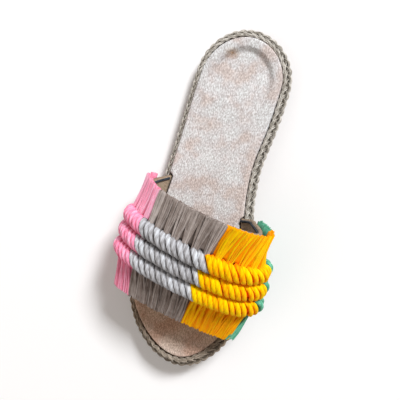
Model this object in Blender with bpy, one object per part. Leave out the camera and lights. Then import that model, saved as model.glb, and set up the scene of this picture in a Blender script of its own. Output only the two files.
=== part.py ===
"""Macrame slipper: a flat slide with a plaited jute edge and a knotted strap in four colours.

Sizes are in millimetres and become metres when a mesh is made.
The toe points to -Y, the inner side of the foot to +X, and the sole stands on Z = 0.
"""
import math

import bpy
import numpy as np

MM = 0.001
GAP = 0.35

# Sole outline: station along the foot from the heel end, and half widths to each side of the centre line
SOLE_LENGTH = 256.5
HEEL_Y = 127.5
EDGE_COLUMNS = ("station", "outer", "inner")
EDGE_TABLE = (
    (0.0, 33.0, 36.0),
    (34.0, 34.0, 36.8),
    (64.0, 35.6, 35.2),
    (100.0, 37.6, 31.2),
    (125.0, 39.6, 33.2),
    (150.0, 42.6, 38.6),
    (180.0, 45.6, 44.2),
    (205.0, 45.4, 45.0),
    (256.5, 40.0, 42.0),
)
HEEL_ROUND = 37.0
TOE_ROUND = 53.0
HEEL_APEX_X = 1.5
TOE_APEX_X = 5.0
TOE_SPRING = 7.0
SPRING_START = 188.0
ROUND_SAMPLES = 12
SIDE_SAMPLES = 23

# Sole layers: heights above the floor
OUTSOLE_TOP = 11.0
OUTSOLE_INSET = 1.2
OUTSOLE_BEVEL = 1.6
BRAID_WIDTH = 5.8
BRAID_HEIGHT = 7.5
BRAID_RINGS = 138
BRAID_SIDES = 8
BRAID_CHEVRON = 3.2
BRAID_RELIEF = 0.16
BRAID_SQUARENESS = 0.55
BRAID_STEPS = 4
INSOLE_TOP = 19.8
INSOLE_INSET = 6.3
INSOLE_ROUND_COLUMNS = ("inset", "below_top")
INSOLE_ROUND_TABLE = (
    (0.0, 1.4),
    (0.5, 0.55),
    (1.4, 0.0),
)
RIM_WIDTH = 6.5
RIM_SLOPE = 4.0
CUP_DEPTH = 3.2
RIM_DIP = 0.5
CUP_FULL = 34.0
CUP_END = 84.0
NOTCH_INSET = 10.1
NOTCH_MARGIN = 2.4
NOTCH_STEP = 0.4
NOTCH_FADE = 0.5

# Strap: an arch that leans to the inner side, cut by planes turned a little from straight across
STRAP_TURN = math.radians(7.6)
STRAP_Y = -40.4
STRAP_WIDTH = 83.0
STRAP_WALL = 2.5
STRAP_FRONT = 0.965
STRAP_BACK_HOLLOW = 0.075
ROOT_INSET = 7.0
ROOT_Z = 19.0
FOOT_Z = 11.6
RISE_BACK = 67.5
RISE_FRONT = 28.5
BULGE_OUTER = 9.9
BULGE_INNER_BACK = 11.5
BULGE_INNER_FRONT = 3.5
LOWER_ARCH = 27.0
ARCH_POWER = 2.22
ARCH_LEAN = 0.47
STRAP_LIFT_SHARE = 0.5
STRAP_COLUMNS = 42
STRAP_ROWS = 9
SECTION_SAMPLES = 121
GRID_SIZE = (181, 59)
GRID_V_RANGE = (-0.08, 1.08)

# Finishes of the pieces that are not cotton
FINISH_COLUMNS = ("name", "paint", "roughness")
FINISH_TABLE = (
    ("rubber_brown", (0.20, 0.14, 0.10), 0.75),
    ("jute", (0.43, 0.37, 0.31), 0.90),
    ("linen", (0.68, 0.60, 0.55), 0.95),
    ("strap_cloth", (0.33, 0.27, 0.23), 0.90),
)
COTTON_ROUGHNESS = 0.95

# Macrame on the strap: u runs over the arch from the outer root to the inner, v from back edge to front
COLOUR_COLUMNS = ("name", "start", "end", "wraps", "locks", "paint")
COLOUR_TABLE = (
    ("pink", 0.055, 0.280, 7, 5, (0.86, 0.42, 0.52)),
    ("grey", 0.280, 0.565, 9, 7, (0.47, 0.44, 0.42)),
    ("yellow", 0.565, 0.812, 8, 6, (0.95, 0.55, 0.03)),
    ("green", 0.815, 0.950, 4, 3, (0.22, 0.48, 0.36)),
)
MACRAME_LIFT = 0.45
FRINGE_LIFT = 0.7
COLOUR_SEAM = 0.7
BAR_CENTRES = (0.353, 0.500, 0.647)
BAR_HALF_WIDTH = 5.8
BAR_HALF_HEIGHT = 5.4
BAR_SIDES = 7
WRAP_LEAN = 3.4
WRAP_VALLEY = 0.86
BAR_TAPER = 0.09
BAR_TAPER_LOW = 0.42
LEAN_TAPER = 0.18
FRINGE_COLUMNS = ("name", "root", "cut_outer", "cut_middle", "cut_inner", "flare")
FRINGE_TABLE = (
    ("fringe_back", 0.277, -0.050, 0.015, 0.025, 5.0),
    ("fringe_front", 0.723, 1.010, 1.010, 1.010, 0.0),
)
INNER_FLARE = 0.30
OUTER_FLARE = 0.30
LOCK_COLUMNS = ("part", "crest", "valley")
LOCK_TABLE = (
    (0.0, 4.6, 1.0),
    (0.30, 4.4, 1.9),
    (0.65, 3.9, 2.6),
    (1.0, 3.0, 2.4),
)


def clear_scene():
    """Take away whatever the scene holds."""
    for item in list(bpy.data.objects):
        bpy.data.objects.remove(item, do_unlink=True)


def table_column(table, names, name):
    """One named column of a table."""
    return np.array([row[names.index(name)] for row in table])


def smooth_value(stations, values, station):
    """Smooth curve through a table's values."""
    slopes = np.gradient(values, stations)
    cell = np.clip(np.searchsorted(stations, station, side="right") - 1, 0, len(stations) - 2)
    span = stations[cell + 1] - stations[cell]
    t = (station - stations[cell]) / span
    return ((2 * t**3 - 3 * t**2 + 1) * values[cell] + (t**3 - 2 * t**2 + t) * span * slopes[cell]
            + (3 * t**2 - 2 * t**3) * values[cell + 1] + (t**3 - t**2) * span * slopes[cell + 1])


def sole_side(station, side):
    """X of the sole's edge at a station, on the outer or the inner side."""
    stations = table_column(EDGE_TABLE, EDGE_COLUMNS, "station")
    half = smooth_value(stations, table_column(EDGE_TABLE, EDGE_COLUMNS, side), station)
    heel = np.sqrt(np.clip(1 - (1 - np.clip(station / HEEL_ROUND, 0, 1))**2, 0, 1))
    toe_part = np.clip((station - SOLE_LENGTH + TOE_ROUND) / TOE_ROUND, 0, 1)
    toe = np.sqrt(np.clip(1 - toe_part**2, 0, 1))
    apex = np.where(station < SOLE_LENGTH / 2, HEEL_APEX_X, TOE_APEX_X)
    sign = 1.0 if side == "inner" else -1.0
    return apex + sign * (half - sign * apex) * np.minimum(heel, toe)


def sole_stations(extra=()):
    """Stations that follow the round heel and toe closely, with any extra ones put in."""
    turn = np.linspace(0, math.pi / 2, ROUND_SAMPLES)
    heel = HEEL_ROUND * (1 - np.cos(turn))
    toe = SOLE_LENGTH - TOE_ROUND + TOE_ROUND * np.sin(turn)
    middle = np.linspace(HEEL_ROUND, SOLE_LENGTH - TOE_ROUND, SIDE_SAMPLES)[1:-1]
    return np.unique(np.round(np.concatenate([heel, middle, toe, extra]), 3))


def sole_loop(inset, extra=(), inset_at=None):
    """Closed loop of (x, station) points, inner side to the toe and outer side back, moved in by an inset."""
    stations = sole_stations(extra)
    back = stations[::-1][1:-1]
    inner = np.stack([sole_side(stations, "inner"), stations], 1)
    outer = np.stack([sole_side(back, "outer"), back], 1)
    loop = np.concatenate([inner, outer])
    tangent = np.roll(loop, -1, 0) - np.roll(loop, 1, 0)
    tangent /= np.linalg.norm(tangent, axis=1)[:, None]
    outward = np.stack([tangent[:, 1], -tangent[:, 0]], 1)
    depth = np.full(len(loop), float(inset))
    if inset_at is not None:
        sides = ["inner"] * len(stations) + ["outer"] * len(back)
        depth += np.array([inset_at(side, s) for side, s in zip(sides, loop[:, 1])])
    return loop - outward * depth[:, None]


def toe_lift(station):
    """How far the sole is lifted off the floor at a station by the toe spring."""
    part = np.clip((station - SPRING_START) / (SOLE_LENGTH - SPRING_START), 0, 1)
    return TOE_SPRING * part**2


def sole_points(loop, height):
    """World points of a loop at a height above the sole's underside."""
    return np.stack([loop[:, 0], HEEL_Y - loop[:, 1], height + toe_lift(loop[:, 1])], 1)


def smooth_step(value):
    """Ease from 0 to 1."""
    value = np.clip(value, 0, 1)
    return value * value * (3 - 2 * value)


def stacked_loops(loops):
    """Vertices and faces of a solid made of loops one above the other, closed by strips across both ends."""
    count = len(loops[0])
    points = np.concatenate(loops)
    faces = []
    for level in range(len(loops) - 1):
        low = level * count
        for i in range(count):
            j = (i + 1) % count
            faces.append((low + i, low + j, low + count + j, low + count + i))
    last = (len(loops) - 1) * count
    for i in range(count // 2):
        a, b = i, i + 1
        c, d = (count - i - 1) % count, (count - i) % count
        strip = [a, b, c] if d == a else ([a, b, d] if c == b else [a, b, c, d])
        faces.append(tuple(reversed(strip)))
        faces.append(tuple(last + k for k in strip))
    return points, faces


def outsole():
    """The rubber outsole: flat from heel to ball, sprung up at the toe."""
    loops = [
        sole_points(sole_loop(OUTSOLE_INSET + OUTSOLE_BEVEL), 0.0),
        sole_points(sole_loop(OUTSOLE_INSET), OUTSOLE_BEVEL),
        sole_points(sole_loop(OUTSOLE_INSET), OUTSOLE_TOP),
    ]
    return stacked_loops(loops)


def root_crossings(across):
    """Both ends, in the strap's own x, of the root line on one of its section planes."""
    loop = sole_loop(ROOT_INSET)
    x, y = loop[:, 0], HEEL_Y - loop[:, 1] - STRAP_Y
    own_x = x * math.cos(STRAP_TURN) - y * math.sin(STRAP_TURN)
    own_y = x * math.sin(STRAP_TURN) + y * math.cos(STRAP_TURN) - across
    next_x, next_y = np.roll(own_x, -1), np.roll(own_y, -1)
    cell = np.where(own_y * next_y < 0)[0]
    part = own_y[cell] / (own_y[cell] - next_y[cell])
    ends = own_x[cell] + part * (next_x[cell] - own_x[cell])
    return ends.min(), ends.max()


def strap_section(v, samples):
    """Points of the strap's outer face on one section, evenly spaced along the arch."""
    across = STRAP_WIDTH * (0.5 - v)
    outer, inner = root_crossings(across)
    half = (inner - outer) / 2
    bulge_inner = BULGE_INNER_BACK + (BULGE_INNER_FRONT - BULGE_INNER_BACK) * v
    reach = half + (BULGE_OUTER + bulge_inner) / 2
    centre = (inner + outer) / 2
    power = 2 / ARCH_POWER
    below = math.acos((half / reach)**(1 / power))
    drop = LOWER_ARCH * math.sin(below)**power
    upper = RISE_BACK + (RISE_FRONT - RISE_BACK) * v - drop
    turn = np.linspace(math.pi + below, -below, SECTION_SAMPLES)
    rise = np.where(np.sin(turn) >= 0, upper, -LOWER_ARCH) * np.abs(np.sin(turn))**power
    sideways = (bulge_inner - BULGE_OUTER) / 2 * np.clip(1 + rise / drop, 0, 1)
    sideways += ARCH_LEAN * np.maximum(rise, 0)
    x = centre + reach * np.sign(np.cos(turn)) * np.abs(np.cos(turn))**power + sideways
    z = ROOT_Z + drop + rise
    run = np.concatenate([[0], np.cumsum(np.hypot(np.diff(x), np.diff(z)))])
    even = np.linspace(0, run[-1], samples)
    x, z = np.interp(even, run, x), np.interp(even, run, z)
    world_x = x * math.cos(STRAP_TURN) + across * math.sin(STRAP_TURN)
    world_y = -x * math.sin(STRAP_TURN) + across * math.cos(STRAP_TURN) + STRAP_Y
    lift = toe_lift(HEEL_Y - world_y) * STRAP_LIFT_SHARE
    return np.stack([world_x, world_y, z + lift], 1)


GRID_U = np.linspace(0, 1, GRID_SIZE[0])
GRID_V = np.linspace(*GRID_V_RANGE, GRID_SIZE[1])
GRID_POINTS = np.stack([strap_section(v, len(GRID_U)) for v in GRID_V], 1)
GRID_NORMALS = np.cross(np.gradient(GRID_POINTS, axis=1), np.gradient(GRID_POINTS, axis=0))
GRID_NORMALS /= np.linalg.norm(GRID_NORMALS, axis=2)[..., None]


def strap_point(u, v, lift):
    """World points over the strap's outer face, lifted off it by a distance."""
    u, v, lift = np.broadcast_arrays(np.asarray(u, float), np.asarray(v, float), np.asarray(lift, float))
    col = np.clip(u, 0, 1) * (len(GRID_U) - 1)
    row = (v - GRID_V[0]) / (GRID_V[-1] - GRID_V[0]) * (len(GRID_V) - 1)
    i = np.clip(col.astype(int), 0, len(GRID_U) - 2)
    j = np.clip(row.astype(int), 0, len(GRID_V) - 2)
    s, t = (col - i)[..., None], (row - j)[..., None]

    def mix(grid):
        near = grid[i, j] * (1 - s) + grid[i + 1, j] * s
        far = grid[i, j + 1] * (1 - s) + grid[i + 1, j + 1] * s
        return near * (1 - t) + far * t

    normal = mix(GRID_NORMALS)
    normal /= np.linalg.norm(normal, axis=-1)[..., None]
    return mix(GRID_POINTS) + normal * lift[..., None]


def arch_length(v):
    """Length of the arch over the strap at v."""
    points = strap_point(GRID_U, v, 0.0)
    return np.linalg.norm(np.diff(points, axis=0), axis=1).sum()


def root_station(v, u):
    """Station where the strap's root meets the sole."""
    return float(HEEL_Y - strap_point(u, v, 0.0)[1])


def notch_spans():
    """Stations between which each side of the footbed is notched for the strap."""
    spans = {}
    for side, u in (("outer", 0.0), ("inner", 1.0)):
        spans[side] = (root_station(0.0, u) - NOTCH_MARGIN, root_station(STRAP_FRONT, u) + NOTCH_MARGIN)
    return spans


def insole():
    """The footbed: a cushion with a rounded rim, a cup at the heel and a notch for each root of the strap."""
    spans = notch_spans()
    corners = []
    for first, last in spans.values():
        corners += [first - NOTCH_STEP, first, last, last + NOTCH_STEP]

    def loop(inset):
        def notch(side, station):
            first, last = spans[side]
            if first - NOTCH_STEP / 2 < station < last + NOTCH_STEP / 2:
                return max(0.0, NOTCH_INSET - INSOLE_INSET - (inset - INSOLE_INSET) * NOTCH_FADE)
            return 0.0

        return sole_loop(inset, corners, notch)

    def cup(points):
        return CUP_DEPTH * smooth_step((CUP_END - points[:, 1]) / (CUP_END - CUP_FULL))

    loops = [sole_points(loop(INSOLE_INSET), OUTSOLE_TOP + GAP)]
    for inset, below in INSOLE_ROUND_TABLE:
        loops.append(sole_points(loop(INSOLE_INSET + inset), INSOLE_TOP - below))
    rim = loop(INSOLE_INSET + RIM_WIDTH)
    bed = loop(INSOLE_INSET + RIM_WIDTH + RIM_SLOPE)
    loops.append(sole_points(rim, INSOLE_TOP - RIM_DIP / CUP_DEPTH * cup(rim)))
    loops.append(sole_points(bed, INSOLE_TOP - cup(bed)))
    return stacked_loops(loops)


def resample_loop(points, count):
    """Evenly spaced points round a closed loop."""
    closed = np.concatenate([points, points[:1]])
    run = np.concatenate([[0], np.cumsum(np.linalg.norm(np.diff(closed, axis=0), axis=1))])
    even = np.arange(count) * run[-1] / count
    return np.stack([np.interp(even, run, closed[:, k]) for k in range(closed.shape[1])], 1)


def braid_edge():
    """The plaited jute edge: a closed rope round the footbed with its plaits as slanting swells."""
    base = OUTSOLE_TOP + GAP
    path = resample_loop(sole_loop(BRAID_WIDTH / 2), BRAID_RINGS * BRAID_STEPS)
    tangent = np.roll(path, -1, 0) - np.roll(path, 1, 0)
    tangent /= np.linalg.norm(tangent, axis=1)[:, None]
    outward = np.stack([tangent[:, 1], -tangent[:, 0]], 1)
    spacing = np.linalg.norm(np.diff(path, axis=0), axis=1).mean()
    rings = []
    for ring in range(BRAID_RINGS):
        swell = 1.0 if ring % 2 else 1.0 - BRAID_RELIEF
        for side in range(BRAID_SIDES):
            turn = 2 * math.pi * (side + 0.5) / BRAID_SIDES
            along = ring * BRAID_STEPS + BRAID_CHEVRON * (abs(math.cos(turn)) - 0.5) / spacing
            low = math.floor(along)
            part = along - low
            a, b = low % len(path), (low + 1) % len(path)
            centre = path[a] * (1 - part) + path[b] * part
            side_way = outward[a] * (1 - part) + outward[b] * part
            corner = 1.0 / max(abs(math.cos(turn)), abs(math.sin(turn)))**BRAID_SQUARENESS
            out = math.cos(turn) * swell * corner * BRAID_WIDTH / 2
            up = math.sin(turn) * corner * BRAID_HEIGHT / 2 * (swell if turn < math.pi else 1.0)
            spot = centre + side_way * np.clip(out, -BRAID_WIDTH / 2, BRAID_WIDTH / 2)
            height = base + BRAID_HEIGHT / 2 + np.clip(up, -BRAID_HEIGHT / 2, BRAID_HEIGHT / 2)
            rings.append((spot[0], HEEL_Y - spot[1], height + float(toe_lift(spot[1]))))
    faces = []
    for ring in range(BRAID_RINGS):
        for side in range(BRAID_SIDES):
            a = ring * BRAID_SIDES + side
            b = ring * BRAID_SIDES + (side + 1) % BRAID_SIDES
            after = ((ring + 1) % BRAID_RINGS) * BRAID_SIDES
            faces.append((a, b, after + (side + 1) % BRAID_SIDES, after + side))
    return np.array(rings), faces


def sheet_solid(top, bottom):
    """A closed solid between two grids of points of the same size."""
    rows, cols = top.shape[:2]
    points = np.concatenate([top.reshape(-1, 3), bottom.reshape(-1, 3)])
    under = rows * cols
    faces = []
    for r in range(rows - 1):
        for c in range(cols - 1):
            a, b = r * cols + c, r * cols + c + 1
            d, e = a + cols, b + cols
            faces.append((a, b, e, d))
            faces.append((under + a, under + d, under + e, under + b))
    rim = [c for c in range(cols)]
    rim += [r * cols + cols - 1 for r in range(1, rows)]
    rim += [(rows - 1) * cols + c for c in range(cols - 2, -1, -1)]
    rim += [r * cols for r in range(rows - 2, 0, -1)]
    for a, b in zip(rim, rim[1:] + rim[:1]):
        faces.append((a, under + a, under + b, b))
    return points, faces


def strap():
    """The strap under the macrame: one open arched wall whose two roots sit between footbed and braid."""
    across = np.array([math.cos(STRAP_TURN), -math.sin(STRAP_TURN), 0.0])
    outer_face, inner_face = [], []
    u = np.linspace(0, 1, STRAP_COLUMNS + 1)
    back = STRAP_BACK_HOLLOW * np.sin(math.pi * u)
    for part in np.linspace(0.0, 1.0, STRAP_ROWS):
        v = back + (STRAP_FRONT - back) * part
        face = strap_point(u, v, 0.0)
        lining = strap_point(u, v, -STRAP_WALL)
        feet = []
        for end, inward in ((face[0], across), (face[-1], -across)):
            foot = end.copy()
            foot[2] = FOOT_Z + float(toe_lift(HEEL_Y - end[1]))
            feet.append((foot, foot + inward * STRAP_WALL))
        outer_face.append(np.vstack([feet[0][0], face, feet[1][0]]))
        inner_face.append(np.vstack([feet[0][1], lining, feet[1][1]]))
    return sheet_solid(np.array(outer_face), np.array(inner_face))


def from_end(u, reach):
    """Ease from 0 at either end of the macrame to 1 a reach away from it."""
    first, last = COLOUR_TABLE[0][1], COLOUR_TABLE[-1][2]
    return smooth_step(np.minimum(u - first, last - u) / reach)


def end_taper(u):
    """How full the macrame is at u: it is drawn flat where it goes into the sole."""
    return BAR_TAPER_LOW + (1 - BAR_TAPER_LOW) * from_end(u, BAR_TAPER)


def knot_bar(centre, start, end, wraps):
    """One colour's run of a knotted bar: a rope of slanting wraps lying on the strap."""
    length = arch_length(centre)
    seam = COLOUR_SEAM / 2 / length
    count = wraps * 2 + 1
    points = []
    for ring, u in enumerate(np.linspace(start + seam, end - seam, count)):
        full = float(end_taper(u))
        swell = 1.0 if ring % 2 else WRAP_VALLEY
        high = BAR_HALF_HEIGHT * full
        for side in range(BAR_SIDES):
            turn = 2 * math.pi * side / BAR_SIDES + math.pi / 2
            forward = math.cos(turn) * swell
            upward = math.sin(turn) * (swell if math.sin(turn) > 0 else 1.0)
            lean = WRAP_LEAN * forward * float(from_end(u, LEAN_TAPER)) / length
            points.append(strap_point(u + lean, centre + forward * BAR_HALF_WIDTH / STRAP_WIDTH,
                                      MACRAME_LIFT + high * (1 + upward)))
    hubs = [strap_point(u, centre, MACRAME_LIFT + BAR_HALF_HEIGHT * float(end_taper(u)))
            for u in (start + seam, end - seam)]
    faces = []
    for ring in range(count - 1):
        for side in range(BAR_SIDES):
            a, b = ring * BAR_SIDES + side, ring * BAR_SIDES + (side + 1) % BAR_SIDES
            faces.append((a, b, b + BAR_SIDES, a + BAR_SIDES))
    hub = count * BAR_SIDES
    for side in range(BAR_SIDES):
        a, b = side, (side + 1) % BAR_SIDES
        faces.append((b, a, hub))
        faces.append((hub - BAR_SIDES + a, hub - BAR_SIDES + b, hub + 1))
    return np.array(points + hubs), faces


def fringe(root, cut_outer, cut_middle, cut_inner, flare, start, end, locks):
    """One colour's fringe: locks tied narrow at the bar that fan out to a straight cut edge."""
    seam = COLOUR_SEAM / 2 / arch_length(root)
    columns = np.linspace(start + seam, end - seam, locks * 2 + 1)
    to_outer = smooth_step((OUTER_FLARE - columns) / OUTER_FLARE)
    to_inner = smooth_step((columns - 1 + 2 * INNER_FLARE) / INNER_FLARE)
    edge = cut_middle + (cut_outer - cut_middle) * to_outer + (cut_inner - cut_middle) * to_inner
    top, bottom = [], []
    for part, crest, valley in LOCK_TABLE:
        v = root + (edge - root) * part
        thick = np.where(np.arange(len(columns)) % 2 == 1, crest, valley) * end_taper(columns)
        lift = FRINGE_LIFT + flare * part**2 * to_inner
        top.append(strap_point(columns, v, lift + thick))
        bottom.append(strap_point(columns, v, lift))
    return sheet_solid(np.array(top), np.array(bottom))


def paint(name, colour, roughness):
    """A plain material."""
    material = bpy.data.materials.new(name)
    material.use_nodes = True
    shader = material.node_tree.nodes["Principled BSDF"]
    shader.inputs["Base Color"].default_value = (*colour, 1.0)
    shader.inputs["Roughness"].default_value = roughness
    return material


def outward_faces(points, faces):
    """Turn all faces round if the solid's volume comes out negative."""
    volume = 0.0
    for face in faces:
        for i in range(1, len(face) - 1):
            volume += float(np.dot(points[face[0]], np.cross(points[face[i]], points[face[i + 1]])))
    return faces if volume > 0 else [tuple(reversed(face)) for face in faces]


def add_object(name, solid, origin, material):
    """Put a solid into the scene as a named object."""
    points, faces = solid
    mesh = bpy.data.meshes.new(name)
    mesh.from_pydata(((points - origin) * MM).tolist(), [], outward_faces(points, faces))
    mesh.materials.append(material)
    mesh.validate()
    item = bpy.data.objects.new(name, mesh)
    bpy.context.scene.collection.objects.link(item)


def build():
    """Make every piece, with the origin under the middle of the whole slipper."""
    clear_scene()
    finish = {name: paint(name, colour, roughness) for name, colour, roughness in FINISH_TABLE}
    solids = {
        "outsole": (outsole(), finish["rubber_brown"]),
        "braid_edge": (braid_edge(), finish["jute"]),
        "insole": (insole(), finish["linen"]),
        "strap": (strap(), finish["strap_cloth"]),
    }
    for name, start, end, wraps, locks, colour in COLOUR_TABLE:
        cotton = paint("cotton_" + name, colour, COTTON_ROUGHNESS)
        for number, centre in enumerate(BAR_CENTRES, 1):
            solids[f"knot_bar_{number}_{name}"] = (knot_bar(centre, start, end, wraps), cotton)
        for fringe_name, *sizes in FRINGE_TABLE:
            solids[f"{fringe_name}_{name}"] = (fringe(*sizes, start, end, locks), cotton)
    every = np.concatenate([solid[0] for solid, _ in solids.values()])
    low, high = every.min(axis=0), every.max(axis=0)
    origin = np.array([(low[0] + high[0]) / 2, (low[1] + high[1]) / 2, 0.0])
    for name, (solid, material) in solids.items():
        add_object(name, solid, origin, material)


build()
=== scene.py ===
# %% [markdown]
# # A macrame slipper dressed over its frame
# The CAD frame already holds the right sizes: a flat sole, a jute edge, a footbed and an arched
# strap. In this lesson each plain solid is replaced by what a hand would feel on the real slipper:
# hitched cotton cord, combed fringe, plaited jute and linen. All of it could be modelled by hand in
# edit mode; a script is used so that the slipper comes out the same each time, and a size is changed
# in one place. Sizes are in millimetres until a mesh is made.

# %% Load the frame
import math

import bpy
import numpy as np
from mathutils import Matrix, Vector


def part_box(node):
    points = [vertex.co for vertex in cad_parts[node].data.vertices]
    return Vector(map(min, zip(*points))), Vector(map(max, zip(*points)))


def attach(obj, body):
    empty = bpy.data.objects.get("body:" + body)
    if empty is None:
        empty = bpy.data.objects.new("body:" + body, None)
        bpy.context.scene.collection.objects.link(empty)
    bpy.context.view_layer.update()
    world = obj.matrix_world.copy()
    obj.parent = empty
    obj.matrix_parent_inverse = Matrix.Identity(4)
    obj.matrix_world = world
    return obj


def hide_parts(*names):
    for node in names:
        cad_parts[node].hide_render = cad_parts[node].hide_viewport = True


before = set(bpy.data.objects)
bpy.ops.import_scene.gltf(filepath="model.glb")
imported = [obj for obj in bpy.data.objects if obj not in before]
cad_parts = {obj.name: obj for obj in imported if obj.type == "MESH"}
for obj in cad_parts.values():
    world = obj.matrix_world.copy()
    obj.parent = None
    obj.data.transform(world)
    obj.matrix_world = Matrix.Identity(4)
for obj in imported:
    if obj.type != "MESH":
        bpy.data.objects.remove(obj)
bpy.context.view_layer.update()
MM = 0.001
print("CAD nodes:", len(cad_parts))

# %% [markdown]
# ## The outline of the sole
# A real sole is cut round a pattern. It could be traced as one long curve, but a short table says as
# much: a half width to each side of a centre line at a few stations from heel to toe. A smooth curve
# through that table, rounded at both ends, gives every edge of the sole, because the outsole, the
# plait and the footbed are all the same outline moved inwards.

# %% Widths of the sole
SOLE_LENGTH = 256.5
HEEL_ROUND = 37.0
TOE_ROUND = 53.0
HEEL_APEX_X = 1.5
TOE_APEX_X = 5.0
BALL_STATION = 180.0
STATIONS = np.array([0.0, 34.0, 64.0, 100.0, 125.0, 150.0, 180.0, 205.0, 256.5])
HALF_WIDTHS = {
    "outer": np.array([33.0, 34.0, 35.6, 37.6, 39.6, 42.6, 45.6, 45.4, 40.0]),
    "inner": np.array([36.0, 36.8, 35.2, 31.2, 33.2, 38.6, 44.2, 45.0, 42.0]),
}


def smooth_width(values, station):
    """Half width at a station, on a smooth curve through the table."""
    slopes = np.gradient(values, STATIONS)
    cell = np.clip(np.searchsorted(STATIONS, station, side="right") - 1, 0, len(STATIONS) - 2)
    span = STATIONS[cell + 1] - STATIONS[cell]
    t = (station - STATIONS[cell]) / span
    return ((2 * t**3 - 3 * t**2 + 1) * values[cell] + (t**3 - 2 * t**2 + t) * span * slopes[cell]
            + (3 * t**2 - 2 * t**3) * values[cell + 1] + (t**3 - t**2) * span * slopes[cell + 1])


def sole_side(station, side):
    """X of the sole's edge at a station, on the outer or the inner side."""
    half = smooth_width(HALF_WIDTHS[side], station)
    heel = np.sqrt(np.clip(1 - (1 - np.clip(station / HEEL_ROUND, 0, 1))**2, 0, 1))
    toe_part = np.clip((station - SOLE_LENGTH + TOE_ROUND) / TOE_ROUND, 0, 1)
    toe = np.sqrt(np.clip(1 - toe_part**2, 0, 1))
    apex = np.where(station < SOLE_LENGTH / 2, HEEL_APEX_X, TOE_APEX_X)
    sign = 1.0 if side == "inner" else -1.0
    return apex + sign * (half - sign * apex) * np.minimum(heel, toe)


ball_width = sole_side(BALL_STATION, "inner") - sole_side(BALL_STATION, "outer")
print("width across the ball:", round(float(ball_width), 1), "mm")

# %% Loops round the sole
OUTSOLE_INSET = 1.2


def loop_outward(loop):
    """Unit directions out of a closed loop in the plane."""
    ahead = np.roll(loop, -1, 0) - np.roll(loop, 1, 0)
    ahead /= np.linalg.norm(ahead, axis=1)[:, None]
    return np.stack([ahead[:, 1], -ahead[:, 0]], 1)


def sole_loop(inset, ends=12, middle=23, extra=(), inset_at=None):
    """Closed loop of (x, station): inner side to the toe, outer side back, moved in by an inset."""
    turn = np.linspace(0, math.pi / 2, ends)
    heel = HEEL_ROUND * (1 - np.cos(turn))
    toe = SOLE_LENGTH - TOE_ROUND + TOE_ROUND * np.sin(turn)
    side = np.linspace(HEEL_ROUND, SOLE_LENGTH - TOE_ROUND, middle)[1:-1]
    stations = np.unique(np.round(np.concatenate([heel, side, toe, extra]), 3))
    back = stations[::-1][1:-1]
    loop = np.concatenate([np.stack([sole_side(stations, "inner"), stations], 1),
                           np.stack([sole_side(back, "outer"), back], 1)])
    depth = np.full(len(loop), float(inset))
    if inset_at is not None:
        sides = ["inner"] * len(stations) + ["outer"] * len(back)
        depth += np.array([inset_at(name, s) for name, s in zip(sides, loop[:, 1])])
    return loop - loop_outward(loop) * depth[:, None]


print("points round the outsole:", len(sole_loop(OUTSOLE_INSET)))

# %% Heights on the sole
HEEL_Y = 127.5
TOE_SPRING = 7.0
SPRING_START = 188.0


def toe_lift(station):
    """Height that the toe spring adds at a station."""
    part = np.clip((station - SPRING_START) / (SOLE_LENGTH - SPRING_START), 0, 1)
    return TOE_SPRING * part**2


def sole_points(loop, height):
    """Points of a loop at a height above the sole's underside."""
    return np.stack([loop[:, 0], HEEL_Y - loop[:, 1], height + toe_lift(loop[:, 1])], 1)


plain_sole = sole_points(sole_loop(OUTSOLE_INSET), 0.0)
cad_sole = np.array(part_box("outsole")) / MM
ORIGIN = np.array([*(plain_sole.max(axis=0) - cad_sole[1])[:2], 0.0])
print("origin of the frame in these sizes:", ORIGIN.round(3))

# %% [markdown]
# ## The strap's surface
# The strap is an arch that leans to the inner side of the foot. It could be bent from a flat sheet,
# but then cords and fringe would have to be bent after it. Here each section is a rounded arch between
# two points of the sole's edge, lower towards the toe, and everything on the strap is placed by two
# numbers, u over the arch and v from back to front, and a lift off the surface.

# %% One section of the strap
STRAP_TURN = math.radians(7.6)
STRAP_Y = -40.4
STRAP_WIDTH = 83.0
ROOT_INSET = 7.0
ROOT_Z = 19.0
RISE_BACK = 67.5
RISE_FRONT = 28.5
BULGE_OUTER = 9.9
BULGE_INNER_BACK = 11.5
BULGE_INNER_FRONT = 3.5
LOWER_ARCH = 27.0
ARCH_POWER = 2.22
ARCH_LEAN = 0.47
ARCH_SAMPLES = 121


def between(first, last, part):
    """Value a part of the way from the first to the last."""
    return first + (last - first) * part


def root_crossings(across):
    """Both ends, in the strap's own x, of the root line on one section plane."""
    loop = sole_loop(ROOT_INSET)
    x, y = loop[:, 0], HEEL_Y - loop[:, 1] - STRAP_Y
    own_x = x * math.cos(STRAP_TURN) - y * math.sin(STRAP_TURN)
    own_y = x * math.sin(STRAP_TURN) + y * math.cos(STRAP_TURN) - across
    next_x, next_y = np.roll(own_x, -1), np.roll(own_y, -1)
    cell = np.where(own_y * next_y < 0)[0]
    part = own_y[cell] / (own_y[cell] - next_y[cell])
    ends = own_x[cell] + part * (next_x[cell] - own_x[cell])
    return ends.min(), ends.max()


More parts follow.
